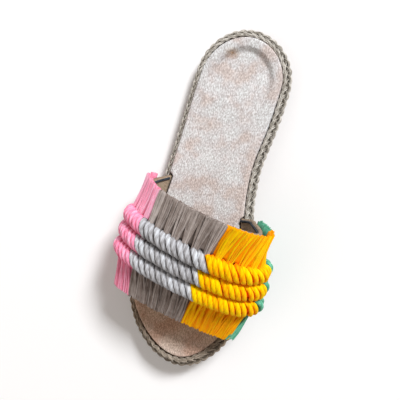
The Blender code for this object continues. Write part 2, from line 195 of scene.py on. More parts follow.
def strap_arch(v):
    """X and height of the strap's outer face on the section at v, in the strap's own plane."""
    outer, inner = root_crossings(STRAP_WIDTH * (0.5 - v))
    half = (inner - outer) / 2
    bulge_inner = between(BULGE_INNER_BACK, BULGE_INNER_FRONT, v)
    reach = half + (BULGE_OUTER + bulge_inner) / 2
    power = 2 / ARCH_POWER
    below = math.acos((half / reach)**(1 / power))
    drop = LOWER_ARCH * math.sin(below)**power
    upper = between(RISE_BACK, RISE_FRONT, v) - drop
    turn = np.linspace(math.pi + below, -below, ARCH_SAMPLES)
    rise = np.where(np.sin(turn) >= 0, upper, -LOWER_ARCH) * np.abs(np.sin(turn))**power
    x = (inner + outer) / 2 + reach * np.sign(np.cos(turn)) * np.abs(np.cos(turn))**power
    x += (bulge_inner - BULGE_OUTER) / 2 * np.clip(1 + rise / drop, 0, 1)
    x += ARCH_LEAN * np.maximum(rise, 0)
    return np.stack([x, ROOT_Z + drop + rise], 1)


print("height of the arch, back and front:", [round(strap_arch(v)[:, 1].max(), 1) for v in (0, 1)])

# %% A grid over the strap
STRAP_LIFT_SHARE = 0.5
OUTER_SPREAD = 2.6
OUTER_SPREAD_REACH = 0.15
GRID_U = np.linspace(0, 1, 181)
GRID_V = np.linspace(-0.08, 1.08, 59)


def run_along(points):
    """Length from the first point of a line to each of its points."""
    return np.concatenate([[0], np.cumsum(np.linalg.norm(np.diff(points, axis=0), axis=1))])


def strap_section(v):
    """Evenly spaced points of the strap's outer face on one section."""
    arch, across = strap_arch(v), STRAP_WIDTH * (0.5 - v)
    run = run_along(arch)
    x, z = (np.interp(GRID_U * run[-1], run, arch[:, axis]) for axis in (0, 1))
    x -= OUTER_SPREAD * np.clip(1 - GRID_U / OUTER_SPREAD_REACH, 0, 1)**2
    world_x = x * math.cos(STRAP_TURN) + across * math.sin(STRAP_TURN)
    world_y = -x * math.sin(STRAP_TURN) + across * math.cos(STRAP_TURN) + STRAP_Y
    return np.stack([world_x, world_y, z + toe_lift(HEEL_Y - world_y) * STRAP_LIFT_SHARE], 1)


GRID_POINTS = np.stack([strap_section(v) for v in GRID_V], 1)
GRID_ALONG = np.gradient(GRID_POINTS, axis=0)
GRID_NORMALS = np.cross(np.gradient(GRID_POINTS, axis=1), GRID_ALONG)
GRID_NORMALS /= np.linalg.norm(GRID_NORMALS, axis=2)[..., None]
GRID_ALONG /= np.linalg.norm(GRID_ALONG, axis=2)[..., None]
print("grid over the strap:", GRID_POINTS.shape[:2])

# %% Places on the strap


def grid_mix(grid, u, v):
    """Value of a grid at any u and v."""
    col = np.clip(u, 0, 1) * (len(GRID_U) - 1)
    row = (v - GRID_V[0]) / (GRID_V[-1] - GRID_V[0]) * (len(GRID_V) - 1)
    i = np.clip(col.astype(int), 0, len(GRID_U) - 2)
    j = np.clip(row.astype(int), 0, len(GRID_V) - 2)
    s, t = (col - i)[..., None], (row - j)[..., None]
    near = grid[i, j] * (1 - s) + grid[i + 1, j] * s
    far = grid[i, j + 1] * (1 - s) + grid[i + 1, j + 1] * s
    return near * (1 - t) + far * t


def strap_frame(u, v):
    """Place, direction over the arch, and normal of the strap at u and v."""
    u, v = np.broadcast_arrays(np.asarray(u, float), np.asarray(v, float))
    return [grid_mix(grid, u, v) for grid in (GRID_POINTS, GRID_ALONG, GRID_NORMALS)]


def strap_point(u, v, lift):
    """Points over the strap's outer face at a lift."""
    place, _, normal = strap_frame(u, v)
    normal = normal / np.linalg.norm(normal, axis=-1)[..., None]
    return place + normal * np.broadcast_to(np.asarray(lift, float), place.shape[:-1])[..., None]


def arch_length(v):
    """Length of the arch at v."""
    return float(run_along(strap_point(GRID_U, v, 0.0))[-1])


print("arch over the strap, back and front:", round(arch_length(0.0)), round(arch_length(1.0)), "mm")

# %% [markdown]
# ## Materials
# Every surface of the slipper is matt and a little fuzzy, and none has one flat colour. Colours could
# come from pictures laid on the meshes, but those show their repeats. Nodes that read object
# coordinates, or numbers kept in the mesh, do not. These helpers keep the node trees short: a value
# given to a node is either a number to keep or a socket to link.

# %% Node helpers
MATT_SPECULAR = 0.05


def node(tree, kind, values=None, **settings):
    """A node with its settings and its values, each a number or a socket."""
    made = tree.nodes.new(kind)
    for key, value in settings.items():
        setattr(made, key, value)
    for key, value in (values or {}).items():
        if isinstance(value, bpy.types.NodeSocket):
            tree.links.new(value, made.inputs[key])
        else:
            made.inputs[key].default_value = value
    return made


def maths(tree, operation, first, second=0.0):
    """A Math node between two sockets or numbers."""
    return node(tree, "ShaderNodeMath", {0: first, 1: second}, operation=operation).outputs[0]


def weighed(tree, first, first_share, second, second_share):
    """Sum of two sockets, each by its share."""
    return maths(tree, "ADD", maths(tree, "MULTIPLY", first, first_share),
                 maths(tree, "MULTIPLY", second, second_share))


def new_material(name, roughness, sheen=0.0):
    """A material with its tree and its Principled shader."""
    material = bpy.data.materials.new(name)
    material.use_nodes = True
    shader = material.node_tree.nodes["Principled BSDF"]
    shader.inputs["Roughness"].default_value = roughness
    shader.inputs["Sheen Weight"].default_value = sheen
    shader.inputs["Specular IOR Level"].default_value = MATT_SPECULAR
    return material, material.node_tree, shader


def coat(tree, shader, colour, height, strength, depth):
    """Give a shader its colour and a bump."""
    raised = node(tree, "ShaderNodeBump", {"Height": height, "Strength": strength, "Distance": depth})
    tree.links.new(raised.outputs["Normal"], shader.inputs["Normal"])
    tree.links.new(colour, shader.inputs["Base Color"])


# %% Colour and pattern helpers


def linear(*screen):
    """Scene colour of a colour given as a screen shows it, 0 to 255."""
    return tuple(((value / 255 + 0.055) / 1.055)**2.4 if value > 10 else value / 255 / 12.92
                 for value in screen)


def ramp(tree, source, stops):
    """A colour ramp from (place, colour) stops."""
    made = node(tree, "ShaderNodeValToRGB", {"Fac": source})
    elements = made.color_ramp.elements
    while len(elements) < len(stops):
        elements.new(0.5)
    for element, (place, colour) in zip(elements, stops):
        element.position = place
        element.color = (*colour, 1.0)
    return made.outputs["Color"]


def object_place(tree):
    """Object coordinates."""
    return node(tree, "ShaderNodeTexCoord").outputs["Object"]


def noise(tree, place, scale, detail=2.0):
    """Soft noise at a place."""
    return node(tree, "ShaderNodeTexNoise",
                {"Vector": place, "Scale": scale, "Detail": detail}).outputs["Fac"]


def strand_shade(tree):
    """The shade that every strand of a mesh carries: its own tone with painted shade and light."""
    return node(tree, "ShaderNodeAttribute", attribute_name="shade").outputs["Fac"]


print("a middle grey is", round(linear(128)[0], 3), "in the scene")

# %% [markdown]
# ## Cotton
# The cords are soft cotton in four colours, wound tight on the bars and combed out in the fringe.
# One noise over all would look like dirt. Instead every strand carries its own shade, which also
# holds painted shade in the hollows and painted light on the crests and the side towards the lamp,
# and a ramp turns it into a colour of that yarn. A fine bump and a little sheen stand for the down.

# %% Cotton in four colours
COTTON_ROUGHNESS, COTTON_SHEEN = 0.92, 0.02
COTTON_PATCHES = 260.0
COTTON_SHARES = (0.7, 0.35)
COTTON_STOPS = (0.14, 0.48, 0.86)
COTTON_DOWN, COTTON_DOWN_STRENGTH, COTTON_DOWN_DEPTH = 1800.0, 0.35, 0.0004
# each row: dark, middle and light colour; strands reach the dark one in painted shade and the light one
# in painted light
CORD_TONES = {
    "pink": ((226, 66, 104), (253, 160, 194), (255, 214, 238)),
    "grey": ((58, 44, 38), (187, 188, 193), (236, 243, 252)),
    "yellow": ((255, 98, 0), (255, 200, 0), (255, 234, 0)),
    "green": ((46, 116, 90), (100, 182, 150), (148, 218, 190)),
}
# the same rows for the combed fringe
COMBED_TONES = {
    "pink": ((228, 92, 124), (252, 156, 188), (255, 202, 226)),
    "grey": ((84, 68, 60), (150, 137, 131), (206, 197, 193)),
    "yellow": ((255, 120, 0), (255, 174, 0), (255, 216, 0)),
    "green": ((54, 126, 98), (106, 188, 156), (148, 216, 188)),
}


def cotton(kind, name, tones):
    """Soft cotton whose tone goes with each strand's shade, painted shade and light included."""
    material, tree, shader = new_material(f"{kind}_{name}", COTTON_ROUGHNESS, COTTON_SHEEN)
    place = object_place(tree)
    tone = weighed(tree, strand_shade(tree), COTTON_SHARES[0],
                   noise(tree, place, COTTON_PATCHES), COTTON_SHARES[1])
    colour = ramp(tree, tone, [(stop, linear(*screen)) for stop, screen in zip(COTTON_STOPS, tones)])
    coat(tree, shader, colour, noise(tree, place, COTTON_DOWN), COTTON_DOWN_STRENGTH, COTTON_DOWN_DEPTH)
    return material


CORD = {name: cotton("cord", name, tones) for name, tones in CORD_TONES.items()}
COMBED = {name: cotton("combed", name, tones) for name, tones in COMBED_TONES.items()}
print("cottons:", ", ".join(CORD))

# %% [markdown]
# ## Jute
# Jute is a dry bast fibre, tan gone grey, with light and dark streaks, and this edge turns browner
# towards the toe, a painted warm shade of the strap over the toe. That tint could be painted on by
# hand; soft ramps along the sole, which tint the colour more and more, do it evenly and serve the
# linen too.

# %% Ramps along the sole
# painted warm shade of the strap over the toe: rising under the strap's front to full just ahead of it,
# easing to about half at the tip
TOE_PAINTED_SHADE = ((-0.030, -0.075, 0.0, 1.0), (-0.095, -0.130, 1.0, 0.55))


def ramps_along(tree, stretches):
    """Product of soft ramps along Y, each from a first to a last place and a low to a high value."""
    axes = node(tree, "ShaderNodeSeparateXYZ", {"Vector": object_place(tree)})
    ramped = 1.0
    for first, last, low, high in stretches:
        part = node(tree, "ShaderNodeMapRange",
                    {"Value": axes.outputs["Y"], "From Min": first, "From Max": last,
                     "To Min": low, "To Max": high}, interpolation_type="SMOOTHSTEP")
        ramped = maths(tree, "MULTIPLY", part.outputs["Result"], ramped)
    return ramped


def multiplied(tree, colour, factor, tint):
    """A colour multiplied by a tint, as far as the factor says."""
    if isinstance(tint, tuple):
        tint = (*tint, 1.0)
    return node(tree, "ShaderNodeMix", {"Factor": factor, "A": colour, "B": tint},
                data_type="RGBA", blend_type="MULTIPLY").outputs["Result"]


# %% Jute
JUTE_ROUGHNESS, JUTE_SHEEN = 0.95, 0.1
JUTE_STREAKS = 900.0
JUTE_SHARES = (0.6, 0.4)
JUTE_STOPS = ((0.22, linear(70, 62, 55)), (0.46, linear(152, 146, 136)), (0.72, linear(216, 212, 205)))
# tint of the painted warm shade at the toe
JUTE_TOE_SHADE_TINT = (0.58, 0.47, 0.37)
JUTE_FUZZ, JUTE_FUZZ_STRENGTH, JUTE_FUZZ_DEPTH = 2200.0, 0.6, 0.0005


def jute_material():
    """Dry grey tan bast fibre, with painted warm shade towards the toe."""
    material, tree, shader = new_material("jute", JUTE_ROUGHNESS, JUTE_SHEEN)
    place = object_place(tree)
    tone = weighed(tree, strand_shade(tree), JUTE_SHARES[0],
                   noise(tree, place, JUTE_STREAKS), JUTE_SHARES[1])
    toe_shaded = multiplied(tree, ramp(tree, tone, JUTE_STOPS), ramps_along(tree, TOE_PAINTED_SHADE), JUTE_TOE_SHADE_TINT)
    coat(tree, shader, toe_shaded, noise(tree, place, JUTE_FUZZ), JUTE_FUZZ_STRENGTH, JUTE_FUZZ_DEPTH)
    return material


JUTE = jute_material()
print("material:", JUTE.name, len(JUTE.node_tree.nodes), "nodes")

# %% [markdown]
# ## Linen
# The footbed is covered with pale linen. Its threads run slantwise both ways with thick places,
# slubs, in them; it has rosy and paler patches, a slightly greyer heel and a small stain, and its toe
# is browner with painted warm shade of the strap. Two turned noises crossed give the slubs, a coarse
# one the patches, ramps the painted toe shade and the greyer heel, and a ball shaped gradient broken
# up by noise the stain.

# %% Threads of a cloth
THREAD_WAVE = {"Distortion": 1.2, "Detail": 1.5, "Detail Scale": 3.0}
SLUB_TURNS = (math.radians(38.0), math.radians(-52.0))
SLUB_STRETCH = (1.3, 0.6, 1.0)
SLUB_SCALE = 1100.0


def weave(tree, place, scale):
    """Over and under threads as a height."""
    threads = [node(tree, "ShaderNodeTexWave", {"Vector": place, "Scale": scale, **THREAD_WAVE},
                    wave_type="BANDS", bands_direction=direction).outputs["Fac"]
               for direction in ("X", "Y")]
    return maths(tree, "MULTIPLY", *threads)


def slubs(tree, place):
    """Thick places of threads that cross slantwise."""
    crossed = []
    for turn in SLUB_TURNS:
        slant = node(tree, "ShaderNodeMapping",
                     {"Vector": place, "Rotation": (0.0, 0.0, turn), "Scale": SLUB_STRETCH})
        crossed.append(noise(tree, slant.outputs["Vector"], SLUB_SCALE))
    return maths(tree, "ADD", *crossed)


# %% Linen
LINEN_ROUGHNESS, LINEN_SHEEN = 0.95, 0.1
LINEN_WEAVE = 420.0
LINEN_SHARES = (0.4, 0.25)
LINEN_GRAIN = ((0.38, linear(180, 172, 170)), (0.49, linear(243, 241, 241)), (0.57, (1.0, 1.0, 1.0)))
LINEN_PATCH_SCALE, LINEN_PATCH_DETAIL = 58.0, 3.0
LINEN_PATCHES = ((0.38, linear(237, 226, 221)), (0.50, linear(246, 245, 246)), (0.60, (0.96, 0.99, 1.0)))
# tint of the painted warm shade at the toe
LINEN_TOE_SHADE_TINT = (0.72, 0.50, 0.36)
# the linen turns slightly greyer towards the heel
HEEL_GREYING = ((-0.010, 0.080, 0.0, 1.0),)
LINEN_HEEL_TINT = (0.91, 0.92, 0.93)
STAIN_PLACE = (-0.0111, 0.1085, 0.017)
STAIN_SCALE = (0.007, 0.005, 0.006)
STAIN_BREAK, STAIN_STRENGTH = 300.0, 2.0
STAIN_TINT = linear(206, 172, 142)
LINEN_BUMP, LINEN_BUMP_DEPTH = 0.55, 0.0006


def stain(tree, place):
    """How much of the heel stain lies at a place."""
    centred = node(tree, "ShaderNodeMapping", {
        "Vector": place, "Location": STAIN_PLACE, "Scale": STAIN_SCALE}, vector_type="TEXTURE")
    spot = node(tree, "ShaderNodeTexGradient", {"Vector": centred.outputs["Vector"]},
                gradient_type="SPHERICAL")
    broken = maths(tree, "MULTIPLY", spot.outputs["Fac"], noise(tree, place, STAIN_BREAK))
    return maths(tree, "MULTIPLY", broken, STAIN_STRENGTH)


def linen_material():
    """Pale slubbed linen with patches, painted warm shade at the toe, a greyer heel and a faint heel
    stain.
    """
    material, tree, shader = new_material("linen", LINEN_ROUGHNESS, LINEN_SHEEN)
    place = object_place(tree)
    flecks = weighed(tree, slubs(tree, place), LINEN_SHARES[0],
                     weave(tree, place, LINEN_WEAVE), LINEN_SHARES[1])
    patches = noise(tree, place, LINEN_PATCH_SCALE, LINEN_PATCH_DETAIL)
    colour = multiplied(tree, ramp(tree, flecks, LINEN_GRAIN), 1.0, ramp(tree, patches, LINEN_PATCHES))
    colour = multiplied(tree, colour, ramps_along(tree, TOE_PAINTED_SHADE), LINEN_TOE_SHADE_TINT)
    colour = multiplied(tree, colour, ramps_along(tree, HEEL_GREYING), LINEN_HEEL_TINT)
    colour = multiplied(tree, colour, stain(tree, place), STAIN_TINT)
    coat(tree, shader, colour, flecks, LINEN_BUMP, LINEN_BUMP_DEPTH)
    return material


LINEN = linen_material()
print("material:", LINEN.name, len(LINEN.node_tree.nodes), "nodes")

# %% [markdown]
# ## Strap cloth, piping and rubber
# The strap is a sand brown plain cloth with a dark woven piping, and the sole is brown rubber with a
# fine crumb and ribs underneath. A weave on object coordinates would cut straight through the arch,
# so the strap's threads follow flat coordinates that its mesh carries. The ribs are only a bump: a
# hand hardly feels them, and they show from below alone.

# %% Strap cloth and piping
CLOTH_ROUGHNESS, CLOTH_SHEEN = 0.93, 0.1
CLOTH_STOPS = (0.2, 0.7)
CLOTH_SHARES = (0.5, 0.5)
CLOTH_PATCHES = 400.0
CLOTH_BUMP, CLOTH_BUMP_DEPTH = 0.5, 0.0005


def cloth_material(name, tones, scale, flat=None):
    """Plain woven cloth in two tones, on its own flat coordinates where it has them."""
    material, tree, shader = new_material(name, CLOTH_ROUGHNESS, CLOTH_SHEEN)
    place = object_place(tree)
    own = node(tree, "ShaderNodeAttribute", attribute_name=flat).outputs["Vector"] if flat else place
    threads = weave(tree, own, scale)
    tone = weighed(tree, threads, CLOTH_SHARES[0], noise(tree, place, CLOTH_PATCHES), CLOTH_SHARES[1])
    colour = ramp(tree, tone, [(stop, linear(*screen)) for stop, screen in zip(CLOTH_STOPS, tones)])
    coat(tree, shader, colour, threads, CLOTH_BUMP, CLOTH_BUMP_DEPTH)
    return material


STRAP_CLOTH = cloth_material("strap_cloth", ((138, 118, 98), (202, 184, 162)), 260.0, "cloth_place")
PIPING = cloth_material("strap_piping", ((38, 44, 52), (78, 86, 96)), 500.0)
print("cloths:", STRAP_CLOTH.name, PIPING.name)

# %% Sole rubber
RUBBER_ROUGHNESS = 0.7
CRUMB_SCALE, CRUMB_DETAIL = 900.0, 3.0
RUBBER_STOPS = ((0.3, linear(74, 55, 42)), (0.5, linear(104, 80, 62)), (0.72, linear(140, 113, 92)))
RIB_SCALE, RIB_HEIGHT = 55.0, 2.0
TREAD_TOP = 0.0003
RUBBER_BUMP, RUBBER_BUMP_DEPTH = 0.4, 0.0005


def rubber_material():
    """Brown sole rubber with a fine crumb, ribbed underneath."""
    material, tree, shader = new_material("sole_rubber", RUBBER_ROUGHNESS)
    place = object_place(tree)
    crumb = noise(tree, place, CRUMB_SCALE, CRUMB_DETAIL)
    ribs = node(tree, "ShaderNodeTexWave", {"Vector": place, "Scale": RIB_SCALE},
                wave_type="BANDS", bands_direction="Y", wave_profile="TRI")
    axes = node(tree, "ShaderNodeSeparateXYZ", {"Vector": place})
    below = maths(tree, "LESS_THAN", axes.outputs["Z"], TREAD_TOP)
    tread = maths(tree, "MULTIPLY", maths(tree, "MULTIPLY", ribs.outputs["Fac"], below), RIB_HEIGHT)
    coat(tree, shader, ramp(tree, crumb, RUBBER_STOPS), maths(tree, "ADD", crumb, tread),
         RUBBER_BUMP, RUBBER_BUMP_DEPTH)
    return material


RUBBER = rubber_material()
print("materials:", len(bpy.data.materials))

# %% [markdown]
# ## Making a finished piece
# Every piece ends as a plain mesh at the origin, riding on the frame's one body and standing in for a
# CAD solid. Two ways of closing a solid are enough for this slipper: outlines stacked one above the
# other for sole and cushion, and two grids joined round their rim for cloth and felt. Both could be
# extruded by hand; written out, they keep every vertex where the tables say.

# %% Pieces


def to_world(points):
    """Millimetre sizes to the frame's metres."""
    return (np.asarray(points, float) - ORIGIN) * MM


def set_field(mesh, label, values):
    """Keep a number or a direction for every vertex of a mesh."""
    values = np.asarray(values, np.float32)
    kind, key = ("FLOAT_VECTOR", "vector") if values.ndim == 2 else ("FLOAT", "value")
    mesh.attributes.new(label, kind, "POINT").data.foreach_set(key, values.ravel())


def put_in_scene(name, data):
    """A new object in the scene."""
    made = bpy.data.objects.new(name, data)
    bpy.context.scene.collection.objects.link(made)
    return made


def add_piece(name, mesh, nodes):
    """Show a mesh as a piece that stands for CAD nodes."""
    piece = put_in_scene(name, mesh)
    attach(piece, "root")
    if nodes:
        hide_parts(*nodes)
    print(name, sum(len(p.vertices) - 2 for p in mesh.polygons), "triangles")
    return piece


def join_meshes(name, meshes):
    """One mesh of several, with their shades."""
    parts = [put_in_scene(f"{name}_{index}", mesh) for index, mesh in enumerate(meshes)]
    with bpy.context.temp_override(active_object=parts[0], selected_editable_objects=parts):
        bpy.ops.object.join()
    mesh = parts[0].data
    bpy.data.objects.remove(parts[0])
    mesh.name = name
    return mesh


# %% Closed solids
EVEN_SHADE = 0.5


def solid_mesh(name, points, faces, material, shade=EVEN_SHADE):
    """A smooth mesh with an even shade."""
    mesh = bpy.data.meshes.new(name)
    mesh.from_pydata(to_world(points).tolist(), [], faces)
    mesh.materials.append(material)
    mesh.shade_smooth()
    set_field(mesh, "shade", np.full(len(points), shade))
    return mesh


def stacked_loops(loops):
    """Points and faces of loops one above the other, closed by strips across both ends."""
    count = len(loops[0])
    faces = []
    for level in range(len(loops) - 1):
        low = level * count
        faces += [(low + i, low + (i + 1) % count, low + count + (i + 1) % count, low + count + i)
                  for i in range(count)]
    last = (len(loops) - 1) * count
    for i in range(count // 2):
        a, b = i, i + 1
        c, d = (count - i - 1) % count, (count - i) % count
        strip = [a, b, c] if d == a else ([a, b, d] if c == b else [a, b, c, d])
        faces.append(tuple(reversed(strip)))
        faces.append(tuple(last + k for k in strip))
    return np.concatenate(loops), [tuple(reversed(face)) for face in faces]


def sheet_solid(top, bottom):
    """Points and faces of a closed solid between two grids."""
    rows, cols = top.shape[:2]
    under = rows * cols
    faces = []
    for r in range(rows - 1):
        for c in range(cols - 1):
            a, b = r * cols + c, r * cols + c + 1
            faces.append((a, a + cols, b + cols, b))
            faces.append((under + a, under + b, under + b + cols, under + a + cols))
    rim = list(range(cols)) + [r * cols + cols - 1 for r in range(1, rows)]
    rim += [(rows - 1) * cols + c for c in range(cols - 2, -1, -1)]
    rim += [r * cols for r in range(rows - 2, 0, -1)]
    faces += [(a, b, under + b, under + a) for a, b in zip(rim, rim[1:] + rim[:1])]
    return np.concatenate([top.reshape(-1, 3), bottom.reshape(-1, 3)]), faces


# %% [markdown]
# ## Geometry Nodes: trees that copy guide lines
# Cords and fringe are the same thing to a tree: a guide line becomes a curve, the curve is copied,
# each copy is moved off the guide by an amount of its own, and a small circle is swept along it.
# Modelling every strand as an object would work too, but a tree does hundreds at once and keeps its
# sizes as named inputs. First come the steps that both trees of this slipper share.

# %% Tree helpers


def new_tree(name, inputs):
    """An empty tree with a geometry input and output and the named inputs."""
    tree = bpy.data.node_groups.new(name, "GeometryNodeTree")
    tree.interface.new_socket("Geometry", in_out="INPUT", socket_type="NodeSocketGeometry")
    for label, kind in inputs.items():
        tree.interface.new_socket(label, in_out="INPUT", socket_type="NodeSocket" + kind)
    tree.interface.new_socket("Geometry", in_out="OUTPUT", socket_type="NodeSocketGeometry")
    return tree, node(tree, "NodeGroupInput").outputs, node(tree, "NodeGroupOutput")


def vector_maths(tree, operation, first, second):
    """A Vector Math node between sockets; a scale takes a number second."""
    key = "Scale" if operation == "SCALE" else 1
    return node(tree, "ShaderNodeVectorMath", {0: first, key: second},
                operation=operation).outputs["Vector"]


def named(tree, label, kind="FLOAT"):
    """A named attribute as a field."""
    return node(tree, "GeometryNodeInputNamedAttribute", {"Name": label},
                data_type=kind).outputs["Attribute"]


# %% Copying, moving and sweeping


def copied_guides(tree, start, amount):
    """Guide lines as curves, each copied as often as an input says."""
    curve = node(tree, "GeometryNodeMeshToCurve", {"Mesh": start["Geometry"]})
    return node(tree, "GeometryNodeDuplicateElements",
                {"Geometry": curve.outputs["Curve"], "Amount": start[amount]}, domain="SPLINE")


def moved_copies(tree, copies, first, by_first, second, by_second, shade):
    """Copies moved along two directions, each with a shade of its own."""
    offset = vector_maths(tree, "ADD", vector_maths(tree, "SCALE", first, by_first),
                          vector_maths(tree, "SCALE", second, by_second))
    moved = node(tree, "GeometryNodeSetPosition",
                 {"Geometry": copies.outputs["Geometry"], "Offset": offset})
    return node(tree, "GeometryNodeStoreNamedAttribute",
                {"Geometry": moved.outputs["Geometry"], "Name": "shade", "Value": shade},
                data_type="FLOAT", domain="POINT").outputs["Geometry"]


def sweep(tree, start, out, curve, thick, radius):
    """Sweep a round profile along curves, smooth it, give it its material and end the tree."""
    sized = node(tree, "GeometryNodeSetCurveRadius", {"Curve": curve, "Radius": thick})
    profile = node(tree, "GeometryNodeCurvePrimitiveCircle",
                   {"Resolution": start["Sides"], "Radius": radius})
    mesh = node(tree, "GeometryNodeCurveToMesh",
                {"Curve": sized.outputs["Curve"], "Profile Curve": profile.outputs["Curve"],
                 "Fill Caps": True})
    smooth = node(tree, "GeometryNodeSetShadeSmooth", {"Geometry": mesh.outputs["Mesh"]})
    realized = node(tree, "GeometryNodeRealizeInstances", {"Geometry": smooth.outputs["Geometry"]})
    painted = node(tree, "GeometryNodeSetMaterial",
                   {"Geometry": realized.outputs["Geometry"], "Material": start["Material"]})
    tree.links.new(painted.outputs["Geometry"], out.inputs["Geometry"])


# %% [markdown]
# ## Geometry Nodes: a wound cord
# A cord is several plies twisted together. The tree copies the guide once per ply and pushes each
# copy out round the path by an angle that grows with length. A screw modifier could twist a straight
# cord, but these follow bends. One tree then serves the hitches, the jute plait and the piping.

# %% The wound cord tree
MOTTLE_SEED = 4


def wound_cord_tree():
    """Guide lines to twisted cords."""
    tree, start, out = new_tree("wound_cord", {
        "Plies": "Int", "Ply Offset": "Float", "Ply Radius": "Float", "Twist Pitch": "Float",
        "Mottle": "Float", "Sides": "Int", "Material": "Material"})
    copies = copied_guides(tree, start, "Plies")
    ply = copies.outputs["Duplicate Index"]
    length = node(tree, "GeometryNodeSplineParameter").outputs["Length"]
    turns = maths(tree, "ADD", maths(tree, "DIVIDE", length, start["Twist Pitch"]),
                  maths(tree, "DIVIDE", ply, start["Plies"]))
    angle = maths(tree, "MULTIPLY", turns, 2 * math.pi)
    normal = node(tree, "GeometryNodeInputNormal").outputs["Normal"]
    tangent = node(tree, "GeometryNodeInputTangent").outputs["Tangent"]
    side = vector_maths(tree, "CROSS_PRODUCT", tangent, normal)
    thick = named(tree, "thick")
    away = maths(tree, "MULTIPLY", start["Ply Offset"], thick)
    chance = node(tree, "FunctionNodeRandomValue", {"ID": ply, "Seed": MOTTLE_SEED}, data_type="FLOAT")
    darker = maths(tree, "MULTIPLY", chance.outputs[1], start["Mottle"])
    shade = maths(tree, "MULTIPLY", named(tree, "shade"), maths(tree, "SUBTRACT", 1.0, darker))
    wound = moved_copies(tree, copies,
                         normal, maths(tree, "MULTIPLY", maths(tree, "COSINE", angle), away),
                         side, maths(tree, "MULTIPLY", maths(tree, "SINE", angle), away), shade)
    sweep(tree, start, out, wound, thick, start["Ply Radius"])
    return tree


WOUND_CORD = wound_cord_tree()
print("tree:", WOUND_CORD.name, len(WOUND_CORD.nodes), "nodes")

# %% [markdown]
# ## Guides and growing
# A guide is a mesh of edges only, with numbers such as thickness and shade at its points. Running a
# tree on it as a modifier and taking the evaluated mesh leaves a plain mesh with no modifier on it.
# Hollows between strands hold less light than a renderer gives at this size, so shade is painted
# into them: each strand's shade is lowered by how deep it lies.

# %% Guides and growing
PLAIN_PITCH = 10.0


def guide_object(name, paths, closed=False, **fields):
    """An object of guide lines; each field has one array a path, of numbers or of directions."""
    edges, first = [], 0
    for path in paths:
        edges += [(first + i, first + i + 1) for i in range(len(path) - 1)]
        if closed:
            edges.append((first + len(path) - 1, first))
        first += len(path)
    mesh = bpy.data.meshes.new(name)
    mesh.from_pydata(to_world(np.concatenate(paths)).tolist(), edges, [])
    for label, values in fields.items():
        set_field(mesh, label, np.concatenate(values))
    return put_in_scene(name, mesh)


def grow(guide, tree, **settings):
    """Run a tree on a guide and keep the result as a plain mesh."""
    modifier = guide.modifiers.new("grow", "NODES")
    modifier.node_group = tree
    for item in tree.interface.items_tree:
        if item.in_out == "INPUT" and item.name != "Geometry":
            modifier[item.identifier] = settings[item.name.lower().replace(" ", "_")]
    shown = guide.evaluated_get(bpy.context.evaluated_depsgraph_get())
    mesh = bpy.data.meshes.new_from_object(shown)
    plain = guide.data
    guide.modifiers.clear()
    bpy.data.objects.remove(guide)
    bpy.data.meshes.remove(plain)
    return mesh


def plain_cord(name, paths, thick, shade, radius, sides, material):
    """A smooth round cord along each path: one ply with nothing to twist round."""
    shades = [np.full(len(path), shade) for path in paths]
    return grow(guide_object(name, paths, thick=thick, shade=shades), WOUND_CORD, plies=1,
                ply_offset=0.0, ply_radius=radius * MM, twist_pitch=PLAIN_PITCH * MM, mottle=0.0,
                sides=sides, material=material)


# %% Painted shade in hollows
HOLLOW_BATCH = 4000


def paint_shade_in_hollows(mesh, axis, inner, outer, keep):
    """Paint shade on strands: lower their shade by how deep they lie round an axis line."""
    count, line = len(mesh.vertices), to_world(axis)
    points, values = np.empty(count * 3, np.float32), np.empty(count, np.float32)
    mesh.vertices.foreach_get("co", points)
    points = points.reshape(-1, 3)
    data = mesh.attributes["shade"].data
    data.foreach_get("value", values)
    for first in range(0, count, HOLLOW_BATCH):
        batch = slice(first, first + HOLLOW_BATCH)
        away = np.linalg.norm(points[batch, None] - line[None], axis=2)
        near = away.argmin(axis=1)
        low, high = inner[near] * MM, outer[near] * MM
        open_part = np.clip((away.min(axis=1) - low) / (high - low), 0, 1)
        values[batch] *= keep + (1 - keep) * open_part
    data.foreach_set("value", values)


# %% [markdown]
# ## Outsole
# A plain brown sole, flat from heel to ball and lifted a little at the toe. It could be a bevelled
# extrusion. A stack of outlines gives the same soft edges top and bottom, and the shallow line round
# its side besides; the crumb of the rubber is in its material.

# %% Outsole
OUTSOLE_TOP = 11.0
FINE_LOOP = {"ends": 22, "middle": 40}
# each row: inset, height
OUTSOLE_TABLE = (
    (2.8, 0.0), (1.9, 0.35), (1.35, 1.1), (1.2, 2.0), (1.2, 4.6), (1.55, 5.0), (1.55, 5.5), (1.2, 5.9),
    (1.2, 10.2), (1.5, 10.8), (2.2, 11.0),
)
outsole_loops = [sole_points(sole_loop(inset, **FINE_LOOP), height) for inset, height in OUTSOLE_TABLE]
outsole_mesh = solid_mesh("outsole_rubber", *stacked_loops(outsole_loops), RUBBER)
add_piece("outsole_rubber", outsole_mesh, ["outsole"])

# %% [markdown]
# ## Footbed
# The footbed is a cushion under linen: a rounded rim all round, a cup at the heel that the rim stands
# above, and a notch on each side where the strap goes down. It is glued flat and can't bulge, so
# a cloth simulation would add nothing. More outlines than in the CAD solid, closer where the rim
# turns over, give it a soft edge.

# %% Where the strap cuts into the footbed
STRAP_FRONT = 0.965
STRAP_BACK_HOLLOW = 0.075
STRAP_BACK_FADE = 0.5
ROOT_SHIFT = {"outer": -0.050, "inner": 0.055}
ROOT_SHIFT_REACH = 0.12
NOTCH_MARGIN = 0.6
NOTCH_STEP = 3.0
NOTCH_CORNER_POINTS = 8


